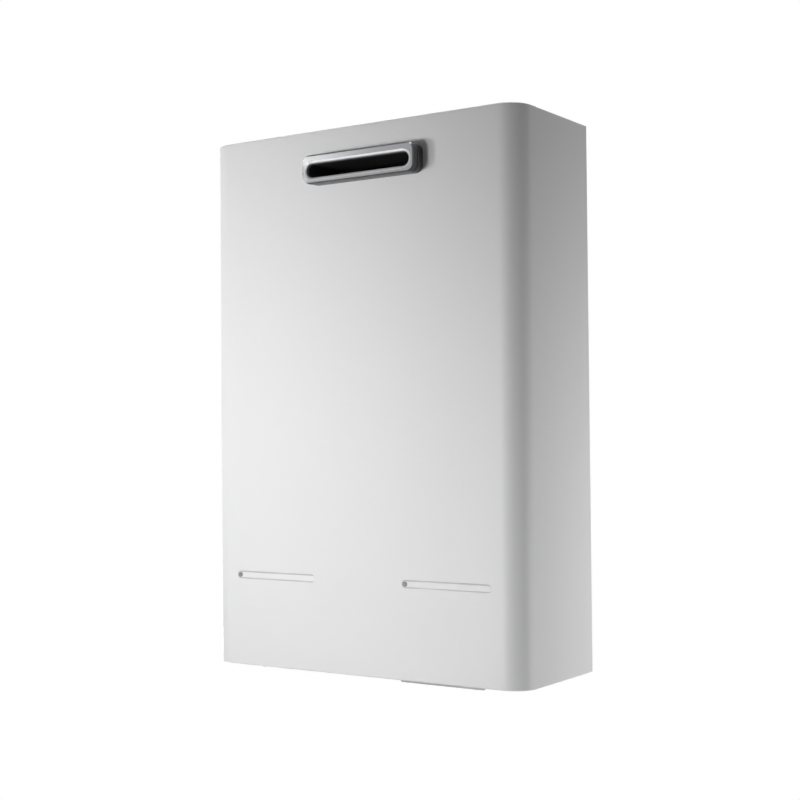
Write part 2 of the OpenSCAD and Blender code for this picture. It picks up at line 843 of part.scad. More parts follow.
// Copper shell of the heat exchanger
function tube_y(i) = col_mid + ((tube_count - 1) / 2 - i) * tube_pitch;
module exchanger_shell() {
    color([0.72, 0.45, 0.3])
    difference() {
        union() {
            box([col_l, col_front, exch_lo], [col_rt, col_rear, hood_lo]);
            column_flange(exch_lo);
            column_flange(hood_lo - col_flange_t);
        }
        column_hollow(exch_lo - over, hood_lo + over);
        for (i = [0 : tube_count - 1])
            rod_x(tube_y(i), tube_z, col_l - over, col_rt + over, tube_r + snug);
        column_holes(exch_lo);
        column_holes(hood_lo);
    }
}

// Fins on the tubes
module fin_pack() {
    fin_d = col_d - 2 * col_t - 4;
    gap = (col_w - 40) / (fin_count - 1);
    color([0.75, 0.48, 0.33])
    for (i = [0 : fin_count - 1])
        translate([col_l + 20 + i * gap - fin_t / 2, col_mid, tube_z])
            rotate([90, 0, 90]) linear_extrude(fin_t)
                difference() {
                    square([fin_d, fin_h], center = true);
                    for (k = [0 : tube_count - 1])
                        translate([tube_y(k) - col_mid, 0]) circle(r = tube_r + snug);
                }
}

// One tube that runs to and fro through the shell
function turn_x(i) = i % 2 == 0 ? col_l - tube_off : col_rt + tube_off;
module exchanger_tubes() {
    last = tube_count - 1;
    path = concat([[tube_end, tube_y(0), tube_z]],
        [for (i = [0 : last - 1], k = [0, 1]) [turn_x(i), tube_y(i + k), tube_z]],
        [[tube_end, tube_y(last), tube_z]]);
    color([0.78, 0.5, 0.34])
    pipe(path, tube_r, tube_bend);
}

// Combustion chamber with holes for the two probes
module combustion_chamber() {
    color([0.7, 0.44, 0.3])
    difference() {
        union() {
            box([col_l, col_front, chamber_lo], [col_rt, col_rear, exch_lo]);
            column_flange(chamber_lo);
            column_flange(exch_lo - col_flange_t);
        }
        column_hollow(chamber_lo - over, exch_lo + over);
        for (s = [-1, 1])
            rod_y(col_x + s * probe_x, probe_z, col_front - over, col_front + col_t + over,
                insulator_r + snug);
        column_holes(chamber_lo);
        column_holes(exch_lo);
    }
}

// Bimetal switch on the front of the exchanger
module overheat_switch() {
    color([0.2, 0.2, 0.21])
    difference() {
        union() {
            rod_y(col_x + 40, tube_z, col_front - 6, col_front, 9);
            from_plane(col_x + 40, col_front, tube_z, 1.5) stadium(34, 12);
            for (s = [-1, 1])
                box([col_x + 40 + 4 * s - 0.5, col_front - 14, tube_z - 3],
                    [col_x + 40 + 4 * s + 0.5, col_front - 5, tube_z + 3]);
        }
        for (s = [-1, 1])
            rod_y(col_x + 40 + 13 * s, tube_z, col_front - 1.5 - over, col_front + over, 1.6);
    }
}

// Hat brackets between the column and the back plate
module column_brackets() {
    color([0.68, 0.69, 0.7])
    for (x = [col_x - col_bracket_x, col_x + col_bracket_x],
            z = [chamber_lo + col_bracket_in, exch_lo - col_bracket_in])
        difference() {
            box([x - col_bracket_w / 2, col_rear, z - col_bracket_h / 2],
                [x + col_bracket_w / 2, y_plate, z + col_bracket_h / 2]);
            box([x - col_bracket_w / 2 + col_bracket_t, col_rear + col_bracket_t,
                    z - col_bracket_h / 2 - over],
                [x + col_bracket_w / 2 - col_bracket_t, y_plate + over,
                    z + col_bracket_h / 2 + over]);
        }
}

// Screws of the column's flanges
module column_screws() {
    color([0.6, 0.6, 0.62])
    for (z = [chamber_lo, exch_lo, hood_lo], p = screw_spots()) {
        rod_z(p[0], p[1], z + col_flange_t, z + col_flange_t + 2, 2 * col_screw_r);
        rod_z(p[0], p[1], z - col_flange_t - 3, z + col_flange_t, col_screw_r);
    }
}

// Burner box with an air port in its floor and two ledges for the blades
module burner_box() {
    color([0.66, 0.67, 0.68])
    difference() {
        union() {
            difference() {
                union() {
                    box([col_l, col_front, burner_lo], [col_rt, col_rear, chamber_lo]);
                    column_flange(chamber_lo - col_flange_t);
                }
                column_hollow(burner_lo + col_t, chamber_lo + over);
            }
            for (y = [col_front + col_t / 2, col_rear - col_t / 2 - 10])
                box([col_l + col_t / 2, y, blade_lo - 2], [col_rt - col_t / 2, y + 10, blade_lo]);
        }
        box([fan_x + neck_x + scroll_t, fan_front, burner_lo - over],
            [fan_x + neck_x + neck_w - scroll_t, fan_rear - scroll_t, burner_lo + col_t + over]);
        for (i = [0 : blade_count - 1])
            rod_y(blade_x(i), venturi_z, col_front - over, col_front + col_t + over,
                venturi_r + snug);
        column_holes(chamber_lo);
    }
}

// Burner blades, each with a round gas inlet
function blade_x(i) = col_x + (i - (blade_count - 1) / 2) * blade_pitch;
module burner_blades() {
    color([0.6, 0.61, 0.62])
    for (i = [0 : blade_count - 1])
        difference() {
            union() {
                box([blade_x(i) - blade_t / 2, col_front + col_t + 2, blade_lo],
                    [blade_x(i) + blade_t / 2, col_rear - col_t - 4, blade_hi]);
                rod_y(blade_x(i), venturi_z, col_front - 2, col_front + 40, venturi_r);
            }
            rod_y(blade_x(i), venturi_z, col_front - 2 - over, col_front + 36, venturi_r - 1);
        }
}

// Gas manifold in front of the burner box
module gas_manifold() {
    low = col_x - manifold_l / 2;
    high = col_x + manifold_l / 2;
    half = manifold_s / 2;
    color([0.74, 0.75, 0.76])
    difference() {
        union() {
            box([low, manifold_rear - manifold_s, venturi_z - half],
                [high, manifold_rear, venturi_z + half]);
            for (x = [low, high - 8])
                box([x, manifold_rear - over, venturi_z - half],
                    [x + 8, col_front, venturi_z + half]);
        }
        rod_x(manifold_y, venturi_z, low - over, high - 6, half - 2.5);
        for (i = [0 : blade_count - 1])
            rod_y(blade_x(i), venturi_z, manifold_y, manifold_rear + over, nozzle_r + snug);
    }
}

// Brass nozzles that spray into the blades
module gas_nozzles() {
    color([0.8, 0.66, 0.34])
    for (i = [0 : blade_count - 1])
        difference() {
            union() {
                rod_y(blade_x(i), venturi_z, manifold_rear - nozzle_end_l, manifold_rear, nozzle_r);
                translate([blade_x(i), manifold_rear, venturi_z]) rotate([-90, 0, 0])
                    cylinder(h = nozzle_hex_l, r = nozzle_hex_r, $fn = 6);
                rod_y(blade_x(i), venturi_z, manifold_rear + nozzle_hex_l,
                    manifold_rear + nozzle_hex_l + nozzle_end_l, nozzle_r);
            }
            rod_y(blade_x(i), venturi_z, manifold_rear - nozzle_end_l - over,
                manifold_rear + nozzle_hex_l + nozzle_end_l + over, 0.8);
        }
}

// Probes: a ceramic insulator with a metal rod through it
module probe(x, reach) {
    difference() {
        union() {
            rod_y(x, probe_z, col_front - 16, col_front + col_t + 4, insulator_r);
            rod_y(x, probe_z, col_front - 3, col_front, insulator_r + 3);
        }
        rod_y(x, probe_z, col_front - 16 - over, col_front + col_t + 4 + over, 1.2 + snug);
    }
    rod_y(x, probe_z, col_front - 20, col_front + reach, 1.2);
}
module spark_electrode() {
    color([0.9, 0.89, 0.85]) probe(col_x - probe_x, spark_reach);
}
module flame_rod() {
    color([0.9, 0.89, 0.85]) probe(col_x + probe_x, flame_reach);
}

// Fan

// Outline of the scroll: four quarter circles that grow, and the outlet
module scroll(gap) {
    h = scroll_step / 2;
    quarters = [[h, h, 0, -90], [h, -h, 1, 180], [-h, -h, 2, 90], [-h, h, 3, 0]];
    square(2 * scroll_step, center = true);
    for (q = quarters)
        translate([q[0], q[1]]) intersection() {
            circle(r = scroll_r - q[2] * scroll_step - gap);
            rotate(q[3]) square(scroll_r);
        }
    translate([neck_x + gap, 0]) square([neck_w - 2 * gap, neck_top + (gap > 0 ? over : 0)]);
}
module fan_part(y, depth) {
    from_plane(fan_x, y, fan_z, depth) children();
}

// Scroll with the air eye at the back and flanges at the outlet
module fan_scroll() {
    color([0.64, 0.65, 0.66])
    difference() {
        union() {
            fan_part(fan_rear, scroll_d) scroll(0);
            box([fan_x + neck_x - 8, fan_front + over, burner_lo - 1.5],
                [fan_x + neck_x + neck_w + 8, fan_rear, burner_lo]);
        }
        fan_part(fan_rear - scroll_t, scroll_d) scroll(scroll_t);
        fan_part(fan_rear + over, 2 * scroll_t + over) circle(r = wheel_r - 8);
    }
}

// Front plate of the scroll
module fan_cover() {
    color([0.66, 0.67, 0.68])
    difference() {
        fan_part(fan_front, scroll_t) scroll(0);
        fan_part(fan_front + over, scroll_t + 2 * over) circle(r = shaft_r + 3);
    }
}

// Motor on the front plate
module fan_motor() {
    color([0.22, 0.22, 0.23])
    difference() {
        union() {
            fan_part(fan_face, motor_l) circle(r = motor_r);
            fan_part(fan_face - motor_l, 4) circle(r = motor_r - 7);
            box([fan_x - 9, fan_face - 16, fan_z + motor_r - 3],
                [fan_x + 9, fan_face - 4, fan_z + motor_r + 6]);
        }
        fan_part(fan_face + over, shaft_in + 2 + over) circle(r = shaft_r + run_clear);
    }
}

// Shaft and impeller
module fan_shaft() {
    color([0.75, 0.75, 0.77])
    rod_y(fan_x, fan_z, fan_face - shaft_in, wheel_rear - 10, shaft_r);
}
module fan_impeller() {
    wide = wheel_rear - wheel_front;
    color([0.8, 0.81, 0.82])
    difference() {
        union() {
            fan_part(wheel_rear, wide) blades();
            fan_part(wheel_rear, 2) difference() {
                circle(r = wheel_r);
                circle(r = wheel_r - 9);
            }
            fan_part(wheel_front + 2, 2) circle(r = wheel_r);
            fan_part(wheel_front + 14, 14) circle(r = shaft_r + 5);
        }
        fan_part(wheel_rear + over, wide + 2 * over) circle(r = shaft_r + 0.02);
    }
}
module blades() {
    for (i = [0 : wheel_blades - 1])
        rotate(360 * i / wheel_blades) translate([wheel_r - 5, 0]) rotate(35)
            square([8, 0.8], center = true);
}

// Unions and gas

// A threaded stub below the base with a relief under its nut
module stub(x, nut_z, top) {
    difference() {
        rod_z(x, union_y, stub_lo, top, thread_r);
        difference() {
            rod_z(x, union_y, nut_z - nut_h - relief, nut_z - nut_h, thread_r + over);
            rod_z(x, union_y, nut_z - nut_h - relief - over, nut_z - nut_h + over,
                thread_r - 0.8);
        }
    }
}

// Gas union from below the base up to the gas valve
module gas_inlet_union() {
    color([0.78, 0.66, 0.36])
    difference() {
        union() {
            stub(gas_x, base_lo, base_hi);
            rod_z(gas_x, union_y, base_hi, base_hi + 5, thread_r + 4);
            rod_z(gas_x, union_y, base_hi + 5, gas_lo, union_bore + 2);
        }
        rod_z(gas_x, union_y, stub_lo - over, gas_lo + over, union_bore);
    }
}

// Gas valve with a chamber under each coil
module gas_valve_body() {
    color([0.72, 0.73, 0.74])
    difference() {
        union() {
            box([gas_x - gas_w / 2, gas_front, gas_lo],
                [gas_x + gas_w / 2, gas_mid + gas_d / 2, gas_hi]);
            for (s = [-1, 1])
                rod_y(gas_x + s * (gas_w / 2 - 8), gas_lo + gas_h / 2, gas_mid + gas_d / 2 - over,
                    y_plate, 5);
            rod_y(gas_x, gas_out_z, gas_front - 4, gas_front + over, gas_pipe_r + 4);
        }
        for (x = coil_xs) rod_z(x, gas_mid, seat_z, gas_hi + over, plunger_r + 6);
        rod_z(gas_x, union_y, gas_lo - over, gas_lo + 20, union_bore);
        rod_y(gas_x, gas_out_z, gas_front - 4 - over, gas_mid, gas_pipe_r - tube_wall);
    }
}

// Solenoid coils, closed at the top
module solenoid_coils() {
    color([0.25, 0.3, 0.26])
    for (x = coil_xs)
        difference() {
            union() {
                rod_z(x, gas_mid, gas_hi, gas_hi + 3, coil_r);
                rod_z(x, gas_mid, gas_hi + 3, gas_hi + coil_h - 3, coil_r - 1.5);
                rod_z(x, gas_mid, gas_hi + coil_h - 3, gas_hi + coil_h, coil_r);
            }
            rod_z(x, gas_mid, gas_hi - over, gas_hi + coil_h - 4, plunger_r + run_clear);
        }
}

// Plungers with a valve disc at the foot
module plunger(x) {
    rod_z(x, gas_mid, seat_z + 0.1, seat_z + 4, plunger_r + 4);
    rod_z(x, gas_mid, seat_z + 4, gas_hi + coil_h - 12, plunger_r);
}
module shutoff_plunger() {
    color([0.7, 0.7, 0.72]) plunger(coil_xs[0]);
}
module modulating_plunger() {
    color([0.7, 0.7, 0.72]) plunger(coil_xs[1]);
}

// Gas pipe from the valve's front up to the manifold
module gas_pipe() {
    color([0.7, 0.71, 0.73])
    pipe([[gas_x, gas_front - 4, gas_out_z], [gas_x, manifold_y, gas_out_z],
        [gas_x, manifold_y, venturi_z], [col_x - manifold_l / 2, manifold_y, venturi_z]],
        gas_pipe_r, gas_bend);
}

// Water

// A brass block on the base with the union and the drain port
module water_block(x, top) {
    box([x - body_w / 2, block_front, base_hi], [x + body_w / 2, block_rear, top]);
    stub(x, base_lo - conn_t, base_hi + over);
}
module block_bores(x, bore_lo, bore_r, top) {
    rod_z(x, union_y, stub_lo - over, top + over, union_bore - 1);
    rod_z(x, union_y, bore_lo, top + over, bore_r);
    rod_z(x, port_y, base_hi - over, base_hi + 32, plug_r + run_clear);
    rod_y(x, base_hi + 10, port_y, union_y, 4);
}
module cold_inlet_body() {
    color([0.78, 0.66, 0.36])
    difference() {
        water_block(cold_x, cold_hi);
        block_bores(cold_x, base_hi + 8, flow_r, cold_hi);
    }
}
module hot_outlet_body() {
    color([0.78, 0.66, 0.36])
    difference() {
        water_block(hot_x, hot_hi);
        block_bores(hot_x, base_hi + 20, pipe_r - tube_wall, hot_hi);
    }
}

// Drain plugs with a wing to turn them by hand
module drain_plug(x, top) {
    lo = base_lo - conn_t - 0.3 - head_h;
    rod_z(x, port_y, lo + head_h, top, plug_r);
    rod_z(x, port_y, lo, lo + head_h, plug_r + 3.5);
    box([x - plug_r - 1, port_y - 2, lo - wing_h], [x + plug_r + 1, port_y + 2, lo]);
}
module drain_plug_cold() {
    color([0.2, 0.2, 0.22]) drain_plug(cold_x, base_hi + 5);
}
module drain_plug_hot() {
    color([0.2, 0.2, 0.22]) drain_plug(hot_x, base_hi + 5);
}

// Strainer cup on the inlet's plug
module inlet_strainer() {
    lo = base_hi + 5;
    color([0.85, 0.86, 0.88])
    difference() {
        rod_z(cold_x, port_y, lo, lo + 22, plug_r - 1.5);
        rod_z(cold_x, port_y, lo + 2, lo + 22 + over, plug_r - 2.5);
        for (a = [0, 60, 120])
            translate([cold_x, port_y, lo + 12]) rotate(a)
                cube([2 * plug_r, 2, 12], center = true);
    }
}

// Two spiders that carry the turbine
module turbine_cage() {
    color([0.85, 0.85, 0.83]) {
        spider(turbine_lo - 4);
        spider(turbine_hi + 1);
    }
}
module spider(z) {
    difference() {
        union() {
            difference() {
                rod_z(cold_x, union_y, z, z + 3, flow_r - run_clear);
                rod_z(cold_x, union_y, z - over, z + 3 + over, flow_r - 1.5);
            }
            for (a = [0, 60, 120])
                translate([cold_x, union_y, z + 1.5]) rotate(a)
                    cube([2 * flow_r - 2, 1.2, 3], center = true);
            rod_z(cold_x, union_y, z, z + 3, 2.6);
        }
        rod_z(cold_x, union_y, z - over, z + 3 + over, 1.2 + run_clear);
    }
}

// Flow turbine on its own pivot
module flow_turbine() {
    color([0.3, 0.32, 0.36])
    union() {
        rod_z(cold_x, union_y, turbine_lo, turbine_hi, 2.5);
        rod_z(cold_x, union_y, turbine_lo - 3.5, turbine_hi + 3.5, 1.2);
        for (a = [0, 90])
            translate([cold_x, union_y, (turbine_lo + turbine_hi) / 2]) rotate(a)
                cube([2 * flow_r - 2, 0.9, 10], center = true);
    }
}

// Water valve above the inlet body, with a turning plug
module water_valve_body() {
    color([0.78, 0.66, 0.36])
    difference() {
        box([cold_x - body_w / 2, valve_front, cold_hi],
            [cold_x + body_w / 2, valve_rear, valve_hi]);
        rod_z(cold_x, union_y, cold_hi - over, valve_hi + over, pipe_r - tube_wall);
        rod_y(cold_x, valve_z, valve_front - over, valve_rear - 4, valve_r + run_clear);
    }
}
module water_valve_plug() {
    color([0.82, 0.82, 0.84])
    union() {
        difference() {
            rod_y(cold_x, valve_z, valve_front + 0.3, valve_rear - 4.3, valve_r);
            rod_z(cold_x, union_y, valve_z - valve_r - over, valve_z + valve_r + over,
                pipe_r - tube_wall);
        }
        rod_y(cold_x, valve_z, valve_front - 8, valve_front + 0.3, 2.5);
    }
}
module servo_motor() {
    color([0.25, 0.25, 0.27])
    difference() {
        union() {
            rod_y(cold_x, valve_z, valve_front - 22, valve_front, 15);
            rod_y(cold_x, valve_z, valve_front - 24, valve_front - 22, 6);
            box([cold_x - 6, valve_front - 16, valve_z + 12],
                [cold_x + 6, valve_front - 6, valve_z + 19]);
        }
        rod_y(cold_x, valve_z, valve_front - 10, valve_front + over, 2.5 + run_clear);
    }
}

// Pipes between the fittings and the exchanger
module cold_pipe() {
    color([0.78, 0.5, 0.34])
    pipe([[cold_x, union_y, valve_hi], [cold_x, union_y, cross_z], [riser_x, union_y, cross_z],
        [riser_x, union_y, tube_z], [tube_end, union_y, tube_z]], pipe_r, pipe_bend);
}
module hot_pipe() {
    y = tube_y(tube_count - 1);
    color([0.78, 0.5, 0.34])
    pipe([[tube_end, y, tube_z], [riser_x, y, tube_z], [riser_x, y, hot_run_z],
        [hot_x, y, hot_run_z], [hot_x, union_y, hot_run_z], [hot_x, union_y, hot_hi]],
        pipe_r, pipe_bend);
}

// Clip-on sensor on the hot pipe
module outlet_thermistor() {
    y = tube_y(tube_count - 1);
    z = chamber_lo - 20;
    color([0.85, 0.85, 0.84])
    difference() {
        box([riser_x - pipe_r - 4, y - pipe_r - 4, z],
            [riser_x + pipe_r + 4, y + pipe_r - 2, z + 14]);
        rod_z(riser_x, y, z - over, z + 14 + over, pipe_r + snug);
    }
}

// Electrics

// Tray of the control box, open to the front, on four feet
module control_box() {
    color([0.3, 0.31, 0.33])
    union() {
        difference() {
            box([ctrl_left, ctrl_front, ctrl_lo], [ctrl_right, ctrl_rear, ctrl_lo + ctrl_h]);
            box([ctrl_left + ctrl_t, ctrl_front - over, ctrl_lo + ctrl_t],
                [ctrl_right - ctrl_t, ctrl_rear - ctrl_t, ctrl_lo + ctrl_h - ctrl_t]);
        }
        for (x = [ctrl_left + 10, ctrl_right - 10], z = [ctrl_lo + 15, ctrl_lo + ctrl_h - 15]) {
            rod_y(x, z, ctrl_rear - over, y_plate, 5);
            rod_y(x, z, ctrl_rear - ctrl_t - 8, ctrl_rear - ctrl_t + 0.5, 3);
        }
    }
}

// Circuit board with its larger parts
module control_board() {
    rear = ctrl_rear - ctrl_t - 8;
    face = rear - 1.6;
    lo = ctrl_lo + ctrl_t + 3;
    hi = ctrl_lo + ctrl_h - ctrl_t - 3;
    left = ctrl_left + ctrl_t + 3;
    right = ctrl_right - ctrl_t - 3;
    g = board_grid;
    color([0.16, 0.38, 0.22])
    union() {
        box([left, face, lo], [right, rear, hi]);
        box([left + 1.25 * g, face - 5.5 * g, hi - 10.5 * g],
            [left + 8.25 * g, rear, hi - 2 * g]);
        for (i = [0 : 2])
            box([right - 4.25 * g, face - 3.5 * g, hi - 6 * g * (i + 1)],
                [right - g, rear, hi - 6 * g * i - 2 * g]);
        for (i = [0, 1])
            rod_y(left + (3.5 + 5.5 * i) * g, hi - 16.5 * g, face - 5 * g, rear, 2 * g);
        box([left + 1.5 * g, face - g, lo + 13.5 * g], [left + 7.5 * g, rear, lo + 19.5 * g]);
        for (i = [0 : 3])
            box([left + (1 + 3.25 * i) * g, face - 2.25 * g, lo + 1.25 * g],
                [left + (3.25 + 3.25 * i) * g, rear, lo + 3.25 * g]);
        box([left + 1.25 * g, face - 4 * g, lo + 6 * g], [right - 2 * g, rear, lo + 10 * g]);
    }
}

// High voltage spark unit on the back plate
module spark_unit() {
    color([0.55, 0.18, 0.14])
    union() {
        box([ctrl_left, y_plate - spark_d, spark_lo],
            [ctrl_left + spark_w, y_plate, spark_lo + spark_h]);
        rod_y(spark_boss_x, spark_boss_z, y_plate - spark_d - 6, y_plate - spark_d + over, 6);
    }
}

// Terminal block for the supply wires
module terminal_block() {
    color([0.88, 0.88, 0.86])
    difference() {
        box([block_x - 14, union_y - 30, base_hi], [block_x + 14, union_y + 6, base_hi + 22]);
        for (i = [0 : 2]) {
            rod_z(block_x + 3, union_y - 24 + 12 * i, base_hi + 10, base_hi + 22 + over, 3);
            rod_x(union_y - 24 + 12 * i, base_hi + 7, block_x - 14 - over, block_x, 2.4);
        }
    }
}

// Wires between the board, the sensors and the motors
module wire_harness() {
    low = [ctrl_right - 12, ctrl_rear - 40, ctrl_lo];
    color([0.14, 0.14, 0.15]) {
        wire([[spark_boss_x, y_plate - spark_d - 6, spark_boss_z],
            [spark_boss_x, y_plate - spark_d - 30, spark_boss_z],
            [col_l + 4, col_front - 14, probe_z - 24],
            [col_x - probe_x - 10, col_front - 31, probe_z - 3],
            [col_x - probe_x, col_front - 29, probe_z],
            [col_x - probe_x, col_front - 20, probe_z]], wire_r);
        wire([low, low - [0, 0, 14], [gas_x + 10, y_plate - 60, ctrl_lo - 46],
            [fan_x - 40, fan_face - 10, fan_z + motor_r + 16],
            [fan_x, fan_face - 10, fan_z + motor_r + 15],
            [fan_x, fan_face - 10, fan_z + motor_r + 6]], wire_r);
        for (i = [0, 1])
            wire([low - [8 + 8 * i, 0, 0], low - [8 + 8 * i, 0, 40],
                [coil_xs[1 - i] + 3, gas_mid, gas_hi + coil_h + 40],
                [coil_xs[1 - i], gas_mid, gas_hi + coil_h + 14],
                [coil_xs[1 - i], gas_mid, gas_hi + coil_h]], wire_r);
        wire([low - [24, 0, 0], low - [24, 0, 40], [gas_x - gas_w / 2 - 14, gas_mid - 4, gas_hi + 30],
            [gas_x - gas_w / 2 - 14, gas_mid - 4, gas_lo], [gas_x - 22, gas_front - 24, base_hi + 24],
            [gland_x, block_front - 18, base_hi + 10], [cold_x, block_front - 18, base_hi + 10],
            [block_x - 40, union_y - 44, base_hi + 9], [block_x - 28, union_y - 24, base_hi + 7],
            [block_x - 20, union_y - 24, base_hi + 7], [block_x - 16, union_y - 24, base_hi + 7],
            [block_x - 0.3, union_y - 24, base_hi + 7]], wire_r);
    }
}

// Drawing
front_cover();
flue_trim();
flue_trim_gasket();
accent_strip_left();
accent_strip_right();
strip_studs();
cover_screws();
back_plate();
base_plate();
wall_bracket_top();
wall_bracket_bottom();
bracket_rivets();
connection_bracket();
lock_nuts();
cover_seal();
cable_gland();
flue_hood();
flue_duct();
exchanger_shell();
fin_pack();
exchanger_tubes();
combustion_chamber();
overheat_switch();
column_brackets();
column_screws();
burner_box();
burner_blades();
gas_manifold();
gas_nozzles();
spark_electrode();
flame_rod();
fan_scroll();
fan_cover();
fan_motor();
fan_impeller();
fan_shaft();
gas_inlet_union();
gas_valve_body();
solenoid_coils();
shutoff_plunger();
modulating_plunger();
gas_pipe();
cold_inlet_body();
inlet_strainer();
turbine_cage();
flow_turbine();
water_valve_body();
water_valve_plug();
servo_motor();
cold_pipe();
hot_pipe();
hot_outlet_body();
drain_plug_cold();
drain_plug_hot();
outlet_thermistor();
control_box();
control_board();
spark_unit();
terminal_block();
wire_harness();
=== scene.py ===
"""Looks of the outdoor tankless gas water heater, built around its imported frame.

Lengths are in metres. The front faces -Y, up is +Z and the wall is the plane y = 0.
"""

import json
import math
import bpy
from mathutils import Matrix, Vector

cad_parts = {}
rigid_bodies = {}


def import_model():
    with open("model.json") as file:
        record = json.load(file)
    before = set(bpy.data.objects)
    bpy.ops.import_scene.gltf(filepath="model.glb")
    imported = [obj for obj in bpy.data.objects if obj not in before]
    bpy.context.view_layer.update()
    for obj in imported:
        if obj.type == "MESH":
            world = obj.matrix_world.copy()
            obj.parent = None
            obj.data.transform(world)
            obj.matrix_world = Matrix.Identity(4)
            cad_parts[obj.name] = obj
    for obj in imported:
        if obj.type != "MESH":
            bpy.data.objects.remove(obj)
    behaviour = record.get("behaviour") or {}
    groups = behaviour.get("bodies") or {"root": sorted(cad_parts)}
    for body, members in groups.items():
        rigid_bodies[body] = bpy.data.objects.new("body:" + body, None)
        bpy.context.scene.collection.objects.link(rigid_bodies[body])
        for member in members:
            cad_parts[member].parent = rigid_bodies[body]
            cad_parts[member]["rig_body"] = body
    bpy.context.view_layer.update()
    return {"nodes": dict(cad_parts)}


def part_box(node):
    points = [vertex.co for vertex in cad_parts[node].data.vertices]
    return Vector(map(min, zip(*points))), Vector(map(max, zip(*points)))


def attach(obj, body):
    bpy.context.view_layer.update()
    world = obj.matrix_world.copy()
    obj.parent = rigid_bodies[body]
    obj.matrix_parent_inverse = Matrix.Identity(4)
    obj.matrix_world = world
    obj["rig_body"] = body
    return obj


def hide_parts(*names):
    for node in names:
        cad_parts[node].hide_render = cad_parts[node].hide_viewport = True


bl_info = {
    "name": "Tankless water heater",
    "version": (1, 0, 0),
    "blender": (4, 5, 0),
    "location": "View3D > Sidebar > Heater",
    "description": "Builds the outer pieces, the finishes and the stage of a wall-hung gas water heater",
    "category": "Object",
}

import bmesh
import bpy
import numpy as np
from bpy.props import FloatProperty, FloatVectorProperty, IntProperty, PointerProperty, StringProperty
from bpy.types import Operator, Panel, PropertyGroup
from mathutils import Matrix, Vector

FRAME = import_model()
MM = 0.001

# Finishes of the carried-over nodes

NODES_OF_FINISH = {
    "black rubber": "flue_trim_gasket cover_seal",
    "zinc sheet": "back_plate base_plate column_brackets",
    "bracket zinc": "wall_bracket_top wall_bracket_bottom",
    "bracket grey": "connection_bracket",
    "near black duct": "flue_duct",
    "screw steel": "bracket_rivets column_screws fan_shaft",
    "cast brass": "lock_nuts gas_nozzles gas_inlet_union cold_inlet_body water_valve_body hot_outlet_body",
    "black plastic": "cable_gland drain_plug_cold drain_plug_hot overheat_switch servo_motor flow_turbine",
    "brushed stainless": "flue_hood burner_box burner_blades fan_scroll fan_cover gas_pipe",
    "turned stainless": "shutoff_plunger modulating_plunger water_valve_plug inlet_strainer",
    "heated copper": "exchanger_shell fin_pack combustion_chamber",
    "copper tube": "exchanger_tubes cold_pipe hot_pipe",
    "cast aluminium": "gas_manifold gas_valve_body fan_impeller",
    "glazed ceramic": "spark_electrode flame_rod",
    "motor enamel": "fan_motor",
    "coil wrap": "solenoid_coils",
    "white plastic": "turbine_cage outlet_thermistor terminal_block",
    "grey plastic": "control_box",
    "spark resin": "spark_unit",
}

# Nodes that get rounded edges, by the width of the rounding in millimetres
NODES_TO_ROUND = {
    1.5: "gas_valve_body spark_unit",
    0.8: "cold_inlet_body hot_outlet_body water_valve_body fan_motor servo_motor terminal_block",
    0.7: "lock_nuts cover_seal outlet_thermistor",
    0.6: "solenoid_coils drain_plug_cold drain_plug_hot cable_gland gas_inlet_union overheat_switch",
    0.4: "control_box flue_hood burner_box exchanger_shell combustion_chamber fan_scroll gas_manifold",
    0.35: "wall_bracket_top wall_bracket_bottom connection_bracket base_plate back_plate column_brackets",
    0.3: "bracket_rivets column_screws spark_electrode flame_rod flue_duct",
}


# Settings


def length_setting(name, description, millimetres):
    """Setting for a length."""
    return FloatProperty(name=name, description=description, default=millimetres * MM, unit="LENGTH")


def angle_setting(name, description, degrees):
    """Setting for an angle."""
    return FloatProperty(name=name, description=description, default=math.radians(degrees), subtype="ANGLE")


def colour_setting(name, description, colour):
    """Setting for a colour."""
    return FloatVectorProperty(name=name, description=description, subtype="COLOR", default=colour,
                               min=0, max=1)


class FinishSettings(PropertyGroup):
    """Colours of the main finishes."""

    paint: colour_setting("Cover paint", "Colour of the painted cover", (0.80, 0.80, 0.805))
    # Painted reflection: the ring's face and lip are one chrome; both colours are set well under chrome's,
    # the lip's a little lighter, in place of the tones they mirror.
    satin: colour_setting("Face chrome, painted reflection", "Colour of the outlet ring's face", (0.28, 0.284, 0.29))
    chrome: colour_setting("Lip chrome, painted reflection", "Colour of the outlet's rolled lip", (0.33, 0.335, 0.34))
    strip: colour_setting("Strip inlay", "Colour of the inlays of the accent strips", (0.84, 0.84, 0.84))


class CoverSizes(PropertyGroup):
    """Sizes of the painted cover."""

    corner: length_setting("Corner radius", "Radius of the two upright front corners", 25)
    fold: length_setting("Fold radius", "Outer radius of the folded edges", 1.6)
    sheet: length_setting("Sheet", "Thickness of the sheet steel", 1)
    front_lip: length_setting("Front lip", "Depth of the lip folded under the front", 16)
    side_lip: length_setting("Side lip", "Width of the lips folded under the sides", 6)


